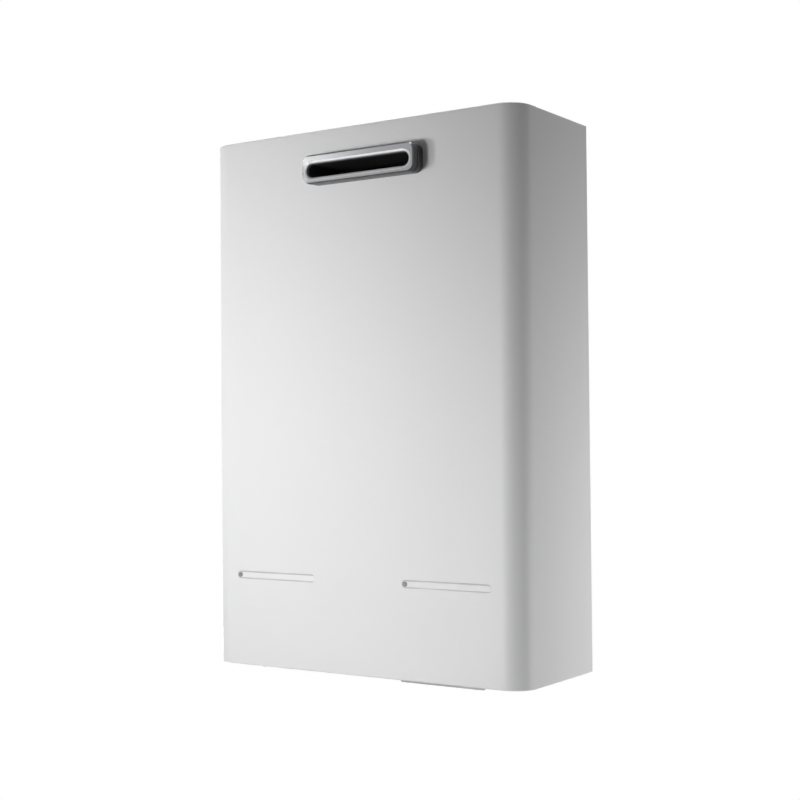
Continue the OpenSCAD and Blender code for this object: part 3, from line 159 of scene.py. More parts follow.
class OutletSizes(PropertyGroup):
    """Sizes of the flue outlet and its chrome trim."""

    slot_width: length_setting("Slot width", "Length of the outlet slot", 130)
    slot_height: length_setting("Slot height", "Height of the outlet slot", 14.5)
    slot_drop: length_setting("Slot drop", "Distance of the slot below the trim's centre", 2)
    pocket: length_setting("Pocket", "Room round the slot for the duct", 1.8)
    corner: length_setting("Trim corner", "Corner radius of the trim", 9)
    chamfer: length_setting("Chamfer", "Width of the steep chamfer round the chrome ring", 2)
    low_chamfer: length_setting("Low chamfer", "Width of the chamfer under the chrome ring", 0.9)
    plate: length_setting("Ring plate", "Thickness of the chrome ring's plate", 1)
    roll: length_setting("Slot roll", "Width of the lip's roll into the slot", 3)
    roll_depth: length_setting("Roll depth", "Depth of the lip's roll into the slot", 1.8)
    band: length_setting("Root band", "Depth of the band at the trim's root", 7)
    groove: length_setting("Groove", "Depth of the groove behind the front ring", 2.5)
    seat: length_setting("Duct seat", "Depth of the slot's wall in front of the duct", 5)


class SmallPartSizes(PropertyGroup):
    """Sizes of the strips, studs, screws and wires."""

    strip_rim: length_setting("Strip rim", "Width of the rim round a strip", 1.3)
    stud_radius: length_setting("Stud radius", "Head radius of the strip studs", 2.6)
    screw_radius: length_setting("Screw head", "Head radius of the cover screws", 4)
    screw_spacing: length_setting("Screw distance", "Distance of the cover screws from the centre line", 130)
    wire_radius: length_setting("Wire bundle", "Radius of a bundle of wires", 2)
    wire_strands: IntProperty(
        name="Strands", description="Number of wires twisted in a bundle", default=3, min=2, max=6)


class ThreadSizes(PropertyGroup):
    """Sizes of the threads on the unions."""

    unions: StringProperty(
        name="Unions", description="Bodies that end in a threaded stub",
        default="gas_inlet_union cold_inlet_body hot_outlet_body")
    union_y: length_setting("Union depth", "Place of the unions' axes in front of the wall", -23)
    crest: length_setting("Crest", "Radius at the thread's crest", 10.48)
    depth: length_setting("Depth", "Depth of the thread", 1.16)
    pitch: length_setting("Pitch", "Rise of the thread in one turn", 1.814)
    bore: length_setting("Bore", "Radius of the way through the stub", 7)
    nut_cover: length_setting("Nut cover", "How far below the nut's top the thread begins", 3)


class StageSettings(PropertyGroup):
    """Camera, floor and lamps."""

    lens: FloatProperty(
        name="Lens", description="Focal length on a 36 mm sensor", default=65.187, unit="CAMERA")
    yaw: angle_setting("Yaw", "Turn of the camera to the left", 33.629)
    pitch: angle_setting("Pitch", "Tilt of the camera upwards", 1.4562)
    roll: angle_setting("Roll", "Roll of the camera", -0.4759)
    place: FloatVectorProperty(
        name="Place", description="Where the camera stands", subtype="TRANSLATION",
        default=(0.88227, -1.39291, -0.03996), unit="LENGTH")
    floor_height: FloatProperty(
        name="Floor", description="Height of the floor", default=-1.6, unit="LENGTH")
    ambient: FloatProperty(
        name="Ambient", description="Strength of the light from all sides", default=0.08, min=0)


# Surfaces as grids of points


def grid_quads(rows, cols, wrap=False):
    """Quads of a grid of points in row order. With wrap, the last column joins the first."""
    row = np.arange(rows - 1)[:, None]
    col = np.arange(cols if wrap else cols - 1)[None, :]
    nxt = (col + 1) % cols
    corners = [row * cols + col, row * cols + nxt, (row + 1) * cols + nxt, (row + 1) * cols + col]
    return np.stack(corners, -1).reshape(-1, 4)


def surface(points, wrap=False):
    """A (rows, cols, 3) grid of points with its quads."""
    rows, cols = points.shape[:2]
    return points.reshape(-1, 3), grid_quads(rows, cols, wrap)


def arc(start, end, count):
    """Angles from start to end in degrees, as their cosines and sines."""
    turn = np.radians(np.linspace(start, end, count))
    return np.cos(turn), np.sin(turn)


def slot_stations(half, straight, bend):
    """Stations round a slot: a point on its middle line and the way out from there.

    The middle line runs from -half to half. The ways point up along the top, turn
    through a half circle at each end and point down along the bottom.
    """
    along = np.linspace(-half, half, straight)
    end = np.radians(np.linspace(90, -90, bend + 2)[1:-1])
    way = np.concatenate([np.full(straight, np.pi / 2), end, np.full(straight, -np.pi / 2), end - np.pi])
    middle = np.concatenate([along, np.full(bend, half), along[::-1], np.full(bend, -half)])
    return middle, np.cos(way), np.sin(way)


def slot_loop(stations, reach, y, centre):
    """Loop at a distance reach from the middle line, in the plane y."""
    middle, out_x, out_z = stations
    return np.stack([centre[0] + middle + reach * out_x, np.full(len(middle), y),
                     centre[1] + reach * out_z], -1)


def frame_loop(stations, size, y, centre, drop):
    """Loop on a rounded rectangle, where the ray of each station leaves it, in the plane y.

    size is width, height and corner radius. The ray starts on the slot's middle line, a
    distance drop below the rectangle's centre. Halving the step finds where the distance
    to the rounded rectangle is nought.
    """
    middle, out_x, out_z = stations
    width, height, radius = size
    near, far = np.zeros(len(middle)), np.full(len(middle), width)
    for _ in range(48):
        half = (near + far) / 2
        over_x = np.abs(middle + half * out_x) - width / 2 + radius
        over_z = np.abs(half * out_z - drop) - height / 2 + radius
        outside = np.hypot(np.maximum(over_x, 0), np.maximum(over_z, 0))
        inside = np.minimum(np.maximum(over_x, over_z), 0)
        past = outside + inside > radius
        far = np.where(past, half, far)
        near = np.where(past, near, half)
    return np.stack([centre[0] + middle + near * out_x, np.full(len(middle), y),
                     centre[1] + near * out_z], -1)


def lathe(profile, base, axis, count=32):
    """Surface of revolution: the profile of (radius, height) turned about the axis at base.

    A point is base + radius * (cos t * u + sin t * v) + height * axis, for t round the circle.
    """
    axis = np.asarray(axis, float)
    side = np.array([0.0, 0.0, 1.0]) if abs(axis[2]) < 0.9 else np.array([1.0, 0.0, 0.0])
    u = np.cross(side, axis)
    v = np.cross(axis, u)
    turn = np.linspace(0, 2 * np.pi, count, endpoint=False)
    ring = np.cos(turn)[:, None] * u + np.sin(turn)[:, None] * v
    profile = np.asarray(profile, float)
    points = np.asarray(base) + profile[:, 0, None, None] * ring + profile[:, 1, None, None] * axis
    return surface(points, wrap=True)


def smooth_path(points, per_span=10):
    """Smooth curve through points: cubic spans whose slopes come from the neighbours."""
    p = np.asarray(points, float)
    q = np.concatenate([[2 * p[0] - p[1]], p, [2 * p[-1] - p[-2]]])
    a, b, c, d = q[:-3, None], q[1:-2, None], q[2:-1, None], q[3:, None]
    t = np.linspace(0, 1, per_span, endpoint=False)[None, :, None]
    curve = 0.5 * (2 * b + (c - a) * t + (2 * a - 5 * b + 4 * c - d) * t ** 2
                   + (3 * b - a - 3 * c + d) * t ** 3)
    return np.concatenate([curve.reshape(-1, 3), p[-1:]])


def bundle(path, radius, strands, sides=24, pitch=0.03):
    """Twisted bundle along a path: the radius swells at each strand, and the strands wind on.

    radius(t, s) = radius * (0.74 + 0.26 * |cos(strands / 2 * (t - turn(s)))|), where turn grows
    by one circle each pitch of length. The ends are closed at their middle points.
    """
    way = np.gradient(path, axis=0)
    way /= np.linalg.norm(way, axis=1, keepdims=True)
    u = np.cross(way, np.array([0.31, 0.47, 0.83]))
    u /= np.linalg.norm(u, axis=1, keepdims=True)
    v = np.cross(u, way)
    length = np.concatenate([[0], np.cumsum(np.linalg.norm(np.diff(path, axis=0), axis=1))])
    t = np.linspace(0, 2 * np.pi, sides, endpoint=False)[None, :]
    twist = 2 * np.pi * length[:, None] / pitch
    swell = radius * (0.74 + 0.26 * np.abs(np.cos(strands / 2 * (t - twist))))
    rings = path[:, None] + swell[..., None] * (np.cos(t)[..., None] * u[:, None]
                                                + np.sin(t)[..., None] * v[:, None])
    ends = np.repeat(path[[0, -1]][:, None], sides, axis=1)
    return surface(np.concatenate([ends[:1], rings, ends[1:]]), wrap=True)


def block(low, high):
    """Box between two corners, as eight points and six quads."""
    pick = np.array([[0, 0, 0], [1, 0, 0], [1, 1, 0], [0, 1, 0], [0, 0, 1], [1, 0, 1], [1, 1, 1], [0, 1, 1]])
    points = np.where(pick == 1, np.asarray(high, float), np.asarray(low, float))
    faces = [[0, 3, 2, 1], [4, 5, 6, 7], [0, 1, 5, 4], [1, 2, 6, 5], [2, 3, 7, 6], [3, 0, 4, 7]]
    return points, np.array(faces)


def box_of(node):
    """Low and high corner of a node's box."""
    return [np.array(corner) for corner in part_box(node)]


def make_piece(name, parts, body, finish_name, nodes=(), sharp=35.0):
    """Mesh object from (points, quads) pairs, welded, that rides on a body and stands for nodes."""
    starts = np.cumsum([0] + [len(points) for points, _ in parts[:-1]])
    points = np.concatenate([points for points, _ in parts])
    faces = np.concatenate([quads + start for (_, quads), start in zip(parts, starts)])
    mesh = bpy.data.meshes.new(name)
    mesh.from_pydata(points.tolist(), [], faces.tolist())
    if not len(mesh.polygons):
        raise RuntimeError("the piece %s has no faces" % name)
    work = bmesh.new()
    work.from_mesh(mesh)
    bmesh.ops.remove_doubles(work, verts=work.verts, dist=2e-6)
    bmesh.ops.recalc_face_normals(work, faces=work.faces)
    work.to_mesh(mesh)
    work.free()
    mesh.materials.append(bpy.data.materials[finish_name])
    piece = bpy.data.objects.new(name, mesh)
    bpy.context.scene.collection.objects.link(piece)
    shade(mesh, sharp)
    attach(piece, body)
    if nodes:
        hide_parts(*nodes)
    return piece


def shade(mesh, sharp):
    """Smooth shading, with edges over the angle sharp, in degrees, kept crisp."""
    mesh.polygons.foreach_set("use_smooth", np.ones(len(mesh.polygons), bool))
    mesh.set_sharp_from_angle(angle=math.radians(sharp))


def settle(piece, sharp=35.0):
    """Put the result of the piece's modifiers into its mesh and shade it again, unless sharp is None."""
    graph = bpy.context.evaluated_depsgraph_get()
    mesh = bpy.data.meshes.new_from_object(piece.evaluated_get(graph))
    old = piece.data
    piece.modifiers.clear()
    piece.data = mesh
    bpy.data.meshes.remove(old)
    mesh.name = piece.name
    if sharp is not None:
        shade(mesh, sharp)


def add_bevel(piece, width, segments):
    """Modifier that rounds the edges over 35 degrees."""
    step = piece.modifiers.new("round edges", "BEVEL")
    step.width = width
    step.segments = segments
    step.limit_method = "ANGLE"
    step.angle_limit = math.radians(35)
    return step


def bevel(piece, width, segments=3):
    """Round the edges of a piece."""
    add_bevel(piece, width, segments)
    settle(piece)


def rounded_copy(node, width, keep_above=None):
    """Copy of a node's mesh with its flat faces joined and its edges rounded, which stands for it.

    Where keep_above is given, what lies below that height is cut off and the cut is closed.
    """
    mesh = FRAME["nodes"][node].data.copy()
    mesh.name = node + "_rounded"
    work = bmesh.new()
    work.from_mesh(mesh)
    bmesh.ops.remove_doubles(work, verts=work.verts, dist=2e-6)
    if keep_above is not None:
        whole = work.verts[:] + work.edges[:] + work.faces[:]
        cut = bmesh.ops.bisect_plane(work, geom=whole, plane_co=(0, 0, keep_above), plane_no=(0, 0, 1),
                                     clear_inner=True)["geom_cut"]
        edges = [part for part in cut if isinstance(part, bmesh.types.BMEdge)]
        bmesh.ops.triangle_fill(work, edges=edges, use_beauty=True)
        bmesh.ops.recalc_face_normals(work, faces=work.faces)
    bmesh.ops.dissolve_limit(work, angle_limit=math.radians(1), verts=work.verts, edges=work.edges)
    work.to_mesh(mesh)
    work.free()
    shade(mesh, 35)
    piece = bpy.data.objects.new(mesh.name, mesh)
    bpy.context.scene.collection.objects.link(piece)
    step = add_bevel(piece, width, 2)
    step.use_clamp_overlap = False
    step.harden_normals = True
    settle(piece, None)
    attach(piece, FRAME["nodes"][node]["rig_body"])
    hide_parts(node)


# Finishes

# Range that holds most values of a noise
NOISE_SPREAD = (0.3, 0.7)


def add_node(tree, kind, **values):
    """Node of a material, with the named inputs set or linked."""
    node = tree.nodes.new(kind)
    for key, value in values.items():
        socket = node.inputs[key.replace("_", " ")]
        if isinstance(value, bpy.types.NodeSocket):
            tree.links.new(value, socket)
        else:
            socket.default_value = value
    return node


def finish(name, dark, light, metal, rough, cloud, grain, depth, stretch=(1, 1, 1), spangle=0.0, rings=None):
    """Procedural finish on Object coordinates.

    A slow noise (cloud, per metre) drifts the colour between dark and light. A fine noise
    (grain, per metre), stretched for a brushed look, gives the roughness between the two
    values of rough and a bump depth in millimetres. spangle adds the patches of zinc, and
    rings adds turns along Z, as (turns per metre, depth in millimetres).
    """
    material = bpy.data.materials.new(name)
    material.use_nodes = True
    tree = material.node_tree
    shader = tree.nodes["Principled BSDF"]
    shader.inputs["Metallic"].default_value = metal
    place = add_node(tree, "ShaderNodeTexCoord").outputs["Object"]
    drift = add_node(tree, "ShaderNodeTexNoise", Vector=place, Scale=cloud, Detail=4.0).outputs["Fac"]
    if spangle:
        patch = add_node(tree, "ShaderNodeTexVoronoi", Vector=place, Scale=spangle).outputs["Color"]
        grey = add_node(tree, "ShaderNodeRGBToBW", Color=patch).outputs["Val"]
        drift = add_node(tree, "ShaderNodeMix", Factor=0.35, A=drift, B=grey).outputs["Result"]
    ramp = add_node(tree, "ShaderNodeValToRGB", Fac=drift)
    for element, position, colour in zip(ramp.color_ramp.elements, NOISE_SPREAD, (dark, light)):
        element.position = position
        element.color = (*colour, 1)
    tree.links.new(ramp.outputs["Color"], shader.inputs["Base Color"])
    turned = add_node(tree, "ShaderNodeMapping", Vector=place, Scale=stretch).outputs["Vector"]
    fine = add_node(tree, "ShaderNodeTexNoise", Vector=turned, Scale=grain, Detail=3.0).outputs["Fac"]
    gloss = add_node(tree, "ShaderNodeMapRange", Value=fine, From_Min=NOISE_SPREAD[0],
                     From_Max=NOISE_SPREAD[1], To_Min=rough[0], To_Max=rough[1])
    tree.links.new(gloss.outputs["Result"], shader.inputs["Roughness"])
    bump = add_node(tree, "ShaderNodeBump", Height=fine, Strength=1.0, Distance=depth * MM)
    if rings:
        wave = tree.nodes.new("ShaderNodeTexWave")
        wave.bands_direction = "Z"
        # The texture makes 10 / pi turns in a metre at a scale of 1
        wave.inputs["Scale"].default_value = rings[0] * math.pi / 10
        tree.links.new(place, wave.inputs["Vector"])
        bump = add_node(tree, "ShaderNodeBump", Height=wave.outputs["Fac"], Strength=1.0,
                        Distance=rings[1] * MM, Normal=bump.outputs["Normal"])
    tree.links.new(bump.outputs["Normal"], shader.inputs["Normal"])
    return material


def tint(colour, share):
    """Colour made lighter or darker by a share."""
    return tuple(min(1.0, c * share) for c in colour)


def make_finishes(settings):
    """All finishes by name."""
    paint, satin, chrome, strip = settings.paint, settings.satin, settings.chrome, settings.strip
    long_x, long_z, round_z = (0.04, 1, 1), (1, 1, 0.04), (0.3, 0.3, 4)
    return {m.name: m for m in (
        finish("cover paint", tint(paint, 0.985), paint, 0, (0.50, 0.58), 5, 900, 0.006),
        # Painted reflection: the outlet's face and lip are one chrome; these colours, darker than chrome and
        # lighter on the lip, stand in for the tones they mirror.
        finish("outlet face painted reflection", tint(satin, 0.94), satin, 1, (0.175, 0.205), 30, 700, 0.0004),
        finish("outlet lip painted reflection", tint(chrome, 0.96), chrome, 1, (0.50, 0.58), 30, 700, 0.0008),
        # Painted reflection: the trim's body gets this dark colour in place of the dark surroundings its
        # chrome sides would mirror.
        finish("trim body painted dark reflection", (0.065, 0.065, 0.067), (0.09, 0.09, 0.093), 0.8, (0.26, 0.36), 30, 900, 0.004),
        finish("strip silver", (0.42, 0.42, 0.425), (0.50, 0.50, 0.505), 0.3, (0.50, 0.60), 40, 900, 0.002,
               long_x),
        finish("strip inlay", tint(strip, 0.97), strip, 0, (0.50, 0.58), 40, 900, 0.002, long_x),
        finish("stud dark", (0.10, 0.10, 0.102), (0.13, 0.13, 0.133), 0, (0.3, 0.42), 60, 1200, 0.01),
        finish("black rubber", (0.010, 0.010, 0.010), (0.02, 0.02, 0.02), 0, (0.6, 0.8), 40, 1500, 0.03),
        finish("zinc sheet", (0.34, 0.345, 0.35), (0.43, 0.435, 0.44), 0.4, (0.66, 0.80), 14, 500, 0.006,
               spangle=150),
        finish("bracket zinc", (0.33, 0.335, 0.34), (0.41, 0.415, 0.42), 0.4, (0.64, 0.78), 18, 600, 0.008,
               spangle=200),
        finish("bracket grey", (0.30, 0.30, 0.305), (0.37, 0.37, 0.375), 0, (0.5, 0.62), 24, 900, 0.012),
        # The duct is nearly black all over.
        finish("near black duct", (0.006, 0.006, 0.006), (0.016, 0.015, 0.015), 0, (0.5, 0.72), 30, 700, 0.05),
        finish("screw steel", (0.44, 0.44, 0.45), (0.58, 0.58, 0.59), 1, (0.25, 0.4), 80, 900, 0.006),
        finish("cast brass", (0.52, 0.36, 0.14), (0.66, 0.48, 0.22), 1, (0.28, 0.46), 40, 900, 0.02),
        finish("black plastic", (0.022, 0.022, 0.024), (0.036, 0.036, 0.038), 0, (0.42, 0.58), 30, 1400,
               0.015),
        finish("brushed stainless", (0.34, 0.34, 0.345), (0.44, 0.44, 0.445), 1, (0.40, 0.56), 10, 900,
               0.004, long_x),
        finish("turned stainless", (0.5, 0.5, 0.5), (0.62, 0.62, 0.62), 1, (0.18, 0.32), 40, 900, 0.004,
               round_z),
        finish("heated copper", (0.40, 0.17, 0.09), (0.66, 0.32, 0.19), 1, (0.3, 0.5), 16, 600, 0.01,
               long_z),
        finish("copper tube", (0.58, 0.27, 0.15), (0.74, 0.38, 0.23), 1, (0.27, 0.36), 20, 800, 0.001),
        finish("cast aluminium", (0.38, 0.39, 0.40), (0.48, 0.49, 0.50), 0.9, (0.5, 0.66), 30, 1200, 0.03),
        finish("glazed ceramic", (0.72, 0.70, 0.65), (0.82, 0.81, 0.77), 0, (0.12, 0.22), 60, 600, 0.006),
        finish("motor enamel", (0.02, 0.02, 0.022), (0.035, 0.035, 0.037), 0.2, (0.32, 0.46), 30, 900,
               0.012),
        finish("coil wrap", (0.03, 0.07, 0.045), (0.05, 0.11, 0.07), 0, (0.4, 0.55), 60, 900, 0.01,
               rings=(350, 0.15)),
        finish("white plastic", (0.66, 0.66, 0.63), (0.74, 0.74, 0.71), 0, (0.36, 0.5), 40, 1400, 0.01),
        finish("grey plastic", (0.06, 0.064, 0.07), (0.085, 0.09, 0.098), 0, (0.45, 0.6), 20, 1400, 0.02),
        finish("spark resin", (0.22, 0.03, 0.02), (0.32, 0.05, 0.035), 0, (0.28, 0.42), 40, 900, 0.015),
        finish("board green", (0.012, 0.085, 0.035), (0.02, 0.13, 0.055), 0, (0.25, 0.4), 90, 1500, 0.01),
        finish("relay blue", (0.02, 0.05, 0.16), (0.03, 0.075, 0.22), 0, (0.32, 0.45), 60, 1400, 0.01),
        finish("wire cover", (0.014, 0.014, 0.015), (0.03, 0.03, 0.032), 0, (0.38, 0.5), 60, 1200, 0.008),
    )}


class HEATER_OT_finishes(Operator):
    """Make the finishes and give each carried-over node its own."""

    bl_idname = "heater.finishes"
    bl_label = "Finishes"

    def execute(self, context):
        made = make_finishes(context.scene.heater_finish)
        for finish_name, nodes in NODES_OF_FINISH.items():
            for node in nodes.split():
                mesh = FRAME["nodes"][node].data
                mesh.materials.clear()
                mesh.materials.append(made[finish_name])
        return {"FINISHED"}


# Pieces


class HEATER_OT_cover(Operator):
    """Painted cover: one folded sheet with round corners, lips and a hole for the duct."""

    bl_idname = "heater.cover"
    bl_label = "Cover"

    def execute(self, context):
        size, outlet = context.scene.heater_cover, context.scene.heater_outlet
        low, high = box_of("front_cover")
        parts = cover_parts(size, outlet, low, high, outlet_centre(outlet))
        cover = make_piece("cover_shell", parts, "cover",
                           "cover paint", ["front_cover"], 30)
        wall = cover.modifiers.new("sheet", "SOLIDIFY")
        wall.thickness = size.sheet
        wall.offset = -1
        wall.use_even_offset = True
        settle(cover, 30)
        return {"FINISHED"}


def outlet_centre(outlet):
    """Place of the slot's centre on the front, as x and z."""
    low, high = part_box("flue_trim")
    box_low, box_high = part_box("flue_trim_gasket")
    return np.array([(low[0] + high[0]) / 2, (box_low[2] + box_high[2]) / 2 - outlet.slot_drop])


def cover_parts(size, outlet, low, high, slot):
    """Wall, top and outlet patch of the cover's outer skin.

    The wall carries a profile (lip, fold, upright, fold) along the plan of the casing, moved
    inwards along the plan's normals. The top is ruled between the left and right halves of the
    plan. The patch runs from a window in the front to the edge of the duct's hole.
    """
    radius, fold = size.corner, size.fold
    right, front, back = high[0], low[1], high[1]
    window, straight, hair = np.array([80, 24]) * MM, 5, 1e-9
    win_x = slot[0] + np.array([-window[0], window[0]])
    win_z = slot[1] + np.array([-window[1], window[1]])
    run = right - radius
    front_x = np.concatenate([np.linspace(-run, win_x[0], 6), np.linspace(*win_x, 25)[1:],
                              np.linspace(win_x[1], run, 6)[1:]])
    side_y = np.linspace(back, front + radius, straight + 1)
    cos, sin = arc(180, 270, 21)
    plan_x = np.concatenate([np.full(straight, -right), -run + radius * cos, front_x[1:-1]])
    plan_y = np.concatenate([side_y[:-1], front + radius + radius * sin, np.full(len(front_x) - 2, front)])
    out_x = np.concatenate([np.full(straight, -1.0), cos, np.zeros(len(front_x) - 2)])
    out_y = np.concatenate([np.zeros(straight), sin, np.full(len(front_x) - 2, -1.0)])
    bend = straight + len(cos)
    plan_x = np.concatenate([plan_x, -plan_x[:bend][::-1]])
    plan_y = np.concatenate([plan_y, plan_y[:bend][::-1]])
    out_x = np.concatenate([out_x, -out_x[:bend][::-1]])
    out_y = np.concatenate([out_y, out_y[:bend][::-1]])
    cos, sin = arc(270, 180, 6)
    levels = np.concatenate([np.linspace(low[2] + fold, win_z[0], 10), np.linspace(*win_z, 9)[1:],
                             np.linspace(win_z[1], high[2] - fold, 4)[1:]])
    inward = np.concatenate([fold * (1 + cos), np.zeros(len(levels) - 2), fold * (1 + cos[::-1])])
    height = np.concatenate([low[2] + fold * (1 + sin), levels[1:-1], high[2] - fold * (1 + sin[::-1])])
    wall = np.stack([plan_x - inward[:, None] * out_x, plan_y - inward[:, None] * out_y,
                     np.repeat(height[:, None], len(plan_x), 1)], -1)
    inner_x = right - size.sheet - size.side_lip
    lip = wall[0].copy()
    lip[:, 0] = np.clip(lip[:, 0], -inner_x, inner_x)
    lip[:, 1] = np.maximum(lip[:, 1], front + size.front_lip)
    wall = np.concatenate([lip[None], wall])
    points, quads = surface(wall)
    cols = len(plan_x)
    col, row = quads[:, 0] % cols, quads[:, 0] // cols
    first_col = bend - 1 + np.searchsorted(front_x, win_x[0] - hair)
    last_col = bend - 1 + np.searchsorted(front_x, win_x[1] - hair)
    first_row = len(sin) + np.searchsorted(levels, win_z[0] - hair)
    last_row = len(sin) + np.searchsorted(levels, win_z[1] - hair)
    keep = (col < first_col) | (col >= last_col) | (row < first_row) | (row >= last_row)
    edge = wall[first_row:last_row + 1, first_col:last_col + 1]
    loop = np.concatenate([edge[0, :-1], edge[:-1, -1], edge[-1, :0:-1], edge[:0:-1, 0]])
    half = (outlet.slot_width - outlet.slot_height) / 2
    middle = np.stack([slot[0] + np.clip(loop[:, 0] - slot[0], -half, half), loop[:, 1],
                       np.full(len(loop), slot[1])], -1)
    way = loop - middle
    way /= np.linalg.norm(way, axis=1, keepdims=True)
    hole = middle + way * (outlet.slot_height / 2 + outlet.pocket)
    share = np.linspace(0, 1, 4)[:, None, None]
    patch = loop + share * (hole - loop)
    rim = wall[-1, :bend]
    across = ((front_x + run) / (2 * run))[:, None]
    top = rim[:, None] + across * (wall[-1, ::-1][:bend][:, None] - rim[:, None])
    return [(points, quads[keep]), surface(patch, wrap=True), surface(top)]


class HEATER_OT_trim(Operator):
    """Outlet trim: a dark stepped body, a satin ring on it and a lip that rolls into the slot; the body's
    dark colour and the ring's and lip's greys are painted reflection.
    """

    bl_idname = "heater.trim"
    bl_label = "Outlet trim"

    def execute(self, context):
        outlet = context.scene.heater_outlet
        low, high = box_of("flue_trim")
        slot = outlet_centre(outlet)
        half = (outlet.slot_width - outlet.slot_height) / 2
        stations = slot_stations(half, 25, 23)
        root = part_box("flue_trim_gasket")[0][1]
        size = (high[0] - low[0], high[2] - low[2])
        ring, lip, body = trim_loops(outlet, stations, slot, root, low[1], size)
        make_piece("outlet_ring", [surface(np.stack(ring), wrap=True)], "cover",
                   "outlet face painted reflection", ["flue_trim"], 32)
        make_piece("outlet_lip", [surface(np.stack(lip), wrap=True)], "cover",
                   "outlet lip painted reflection", sharp=32)
        make_piece("outlet_body", [surface(np.stack(body), wrap=True)], "cover",
                   "trim body painted dark reflection", sharp=32)
        return {"FINISHED"}


def trim_loops(outlet, stations, slot, root, face, size):
    """Closed rows of loops of the ring, of its rolled lip and of the body behind them.

    Each loop has the same stations, on rounded rectangles outside and on the slot inside. The
    body goes from its root band over a groove to a steep chamfer, narrower at the two ends. The
    ring has a low crown, and the lip turns into the slot through a quarter of an ellipse.
    """
    edge_r, low_band, deep, wall = 0.3 * MM, 0.5 * MM, 2 * MM, 1.4 * MM
    end_share, crown = 0.6, 0.25 * edge_r
    band_y = root - outlet.band
    ring_y = band_y - outlet.groove
    chamfer_y, plate = face + 1.5 * outlet.chamfer, face + outlet.plate

    def outside(inset, y, end=1.0, under=None):
        under = inset if under is None else under
        shape = (size[0] - 2 * inset * end, size[1] - inset - under, outlet.corner - inset)
        return frame_loop(stations, shape, y, slot, outlet.slot_drop + (under - inset) / 2)

    def front(more, y):
        return outside(outlet.chamfer + more, y, end_share, outlet.low_chamfer + more)

    def inside(grow, y):
        return slot_loop(stations, outlet.slot_height / 2 + grow, y, slot)

    body = [outside(low_band, root), outside(low_band, band_y + edge_r), outside(low_band + edge_r, band_y),
            outside(deep, band_y), outside(deep, ring_y), outside(edge_r, ring_y),
            outside(0, ring_y - edge_r), outside(0, chamfer_y + edge_r),
            outside(edge_r / 2, chamfer_y - edge_r), front(0, plate), inside(outlet.pocket, plate),
            inside(outlet.pocket, root), outside(low_band, root)]
    ring = [front(0, plate), front(0, face + 2 * edge_r), front(edge_r / 2, face + edge_r),
            front(edge_r, face + crown), inside(outlet.roll, face), inside(outlet.roll, plate),
            front(0, plate)]
    lip = [inside(outlet.roll * (1 - sin), face + outlet.roll_depth * (1 - cos))
           for cos, sin in zip(*arc(0, 90, 9))]
    lip += [inside(0, face + outlet.seat), inside(wall, face + outlet.seat), inside(wall, plate),
            inside(outlet.roll, plate), inside(outlet.roll, face)]
    return ring, lip, body


class HEATER_OT_strips(Operator):
    """Two accent strips: trays with a round rim and round ends, each with a pale inlay."""

    bl_idname = "heater.strips"
    bl_label = "Accent strips"

    def execute(self, context):
        rim = context.scene.heater_small.strip_rim
        inlays = []
        for side in ("left", "right"):
            node = "accent_strip_" + side
            low, high = box_of(node)
            make_piece("accent_strip_rim_" + side, [strip_surface(low, high, RIM_STEPS, rim)], "cover",
                       "strip silver", [node], 25)
            inlays.append(strip_surface(low, high, INLAY_STEPS, rim))
        make_piece("accent_inlays", inlays, "cover", "strip inlay", sharp=25)
        return {"FINISHED"}


# Steps of a strip's section from its back to its middle: inset in rims, and share of the rise
RIM_STEPS = ((None, 0), (0, 0), (0, 0.6), (0.1, 0.83), (0.3, 0.96), (0.5, 1), (0.7, 0.96), (0.9, 0.83),
             (1, 0.6), (1, 0.3), (None, 0.3))
INLAY_STEPS = ((None, 0.32), (1.03, 0.32), (1.03, 0.5), (1.2, 0.55), (None, 0.55))


def strip_surface(low, high, steps, rim):
    """Closed strip: each step is a slot loop round the middle line, or that line itself.

    At the right end the rim gets narrower and the strip sinks towards the cover, with the
    square of the way into the end.
    """
    height, rise = high[2] - low[2], high[1] - low[1]
    centre = np.array([(low[0] + high[0]) / 2, (low[2] + high[2]) / 2])
    half = (high[0] - low[0] - height) / 2
    stations = slot_stations(half, 60, 11)
    narrow, sink, early = 0.95, 0.8, 0.15

    def into_end(reach):
        x = stations[0] + reach * stations[1]
        return np.clip((x - half) / (height / 2) + early, 0, 1) ** 2

    rims = rim * (1 - narrow * into_end(height / 2))
    loops = []
    for inset, lift in steps:
        reach = 0.0 if inset is None else height / 2 - inset * rims
        y = high[1] - rise * lift * (1 - sink * into_end(reach))
        loops.append(slot_loop(stations, reach, y, centre))
    return surface(np.stack(loops), wrap=True)


class HEATER_OT_studs(Operator):
    """Two dark studs with domed heads at the left ends of the strips."""

    bl_idname = "heater.studs"
    bl_label = "Strip studs"

    def execute(self, context):
        radius, rise = context.scene.heater_small.stud_radius, 0.5 * MM
        parts = []
        front, back = (v[1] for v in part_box("strip_studs"))
        for side in ("left", "right"):
            low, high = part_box("accent_strip_" + side)
            reach = (high[2] - low[2]) / 2
            base = np.array([low[0] + reach, 0.0, low[2] + reach])
            cos, sin = arc(0, 90, 7)
            dome = np.stack([radius * cos, -(front + rise) + rise * sin], -1)
            seat = -(high[1] - rise)
            neck = [(0, -back), (radius / 2, -back), (radius / 2, seat), (radius, seat)]
            parts.append(lathe(np.concatenate([neck, dome]), base, (0, -1, 0), 28))
        make_piece("strip_stud_heads", parts, "cover", "stud dark", ["strip_studs"])
        return {"FINISHED"}


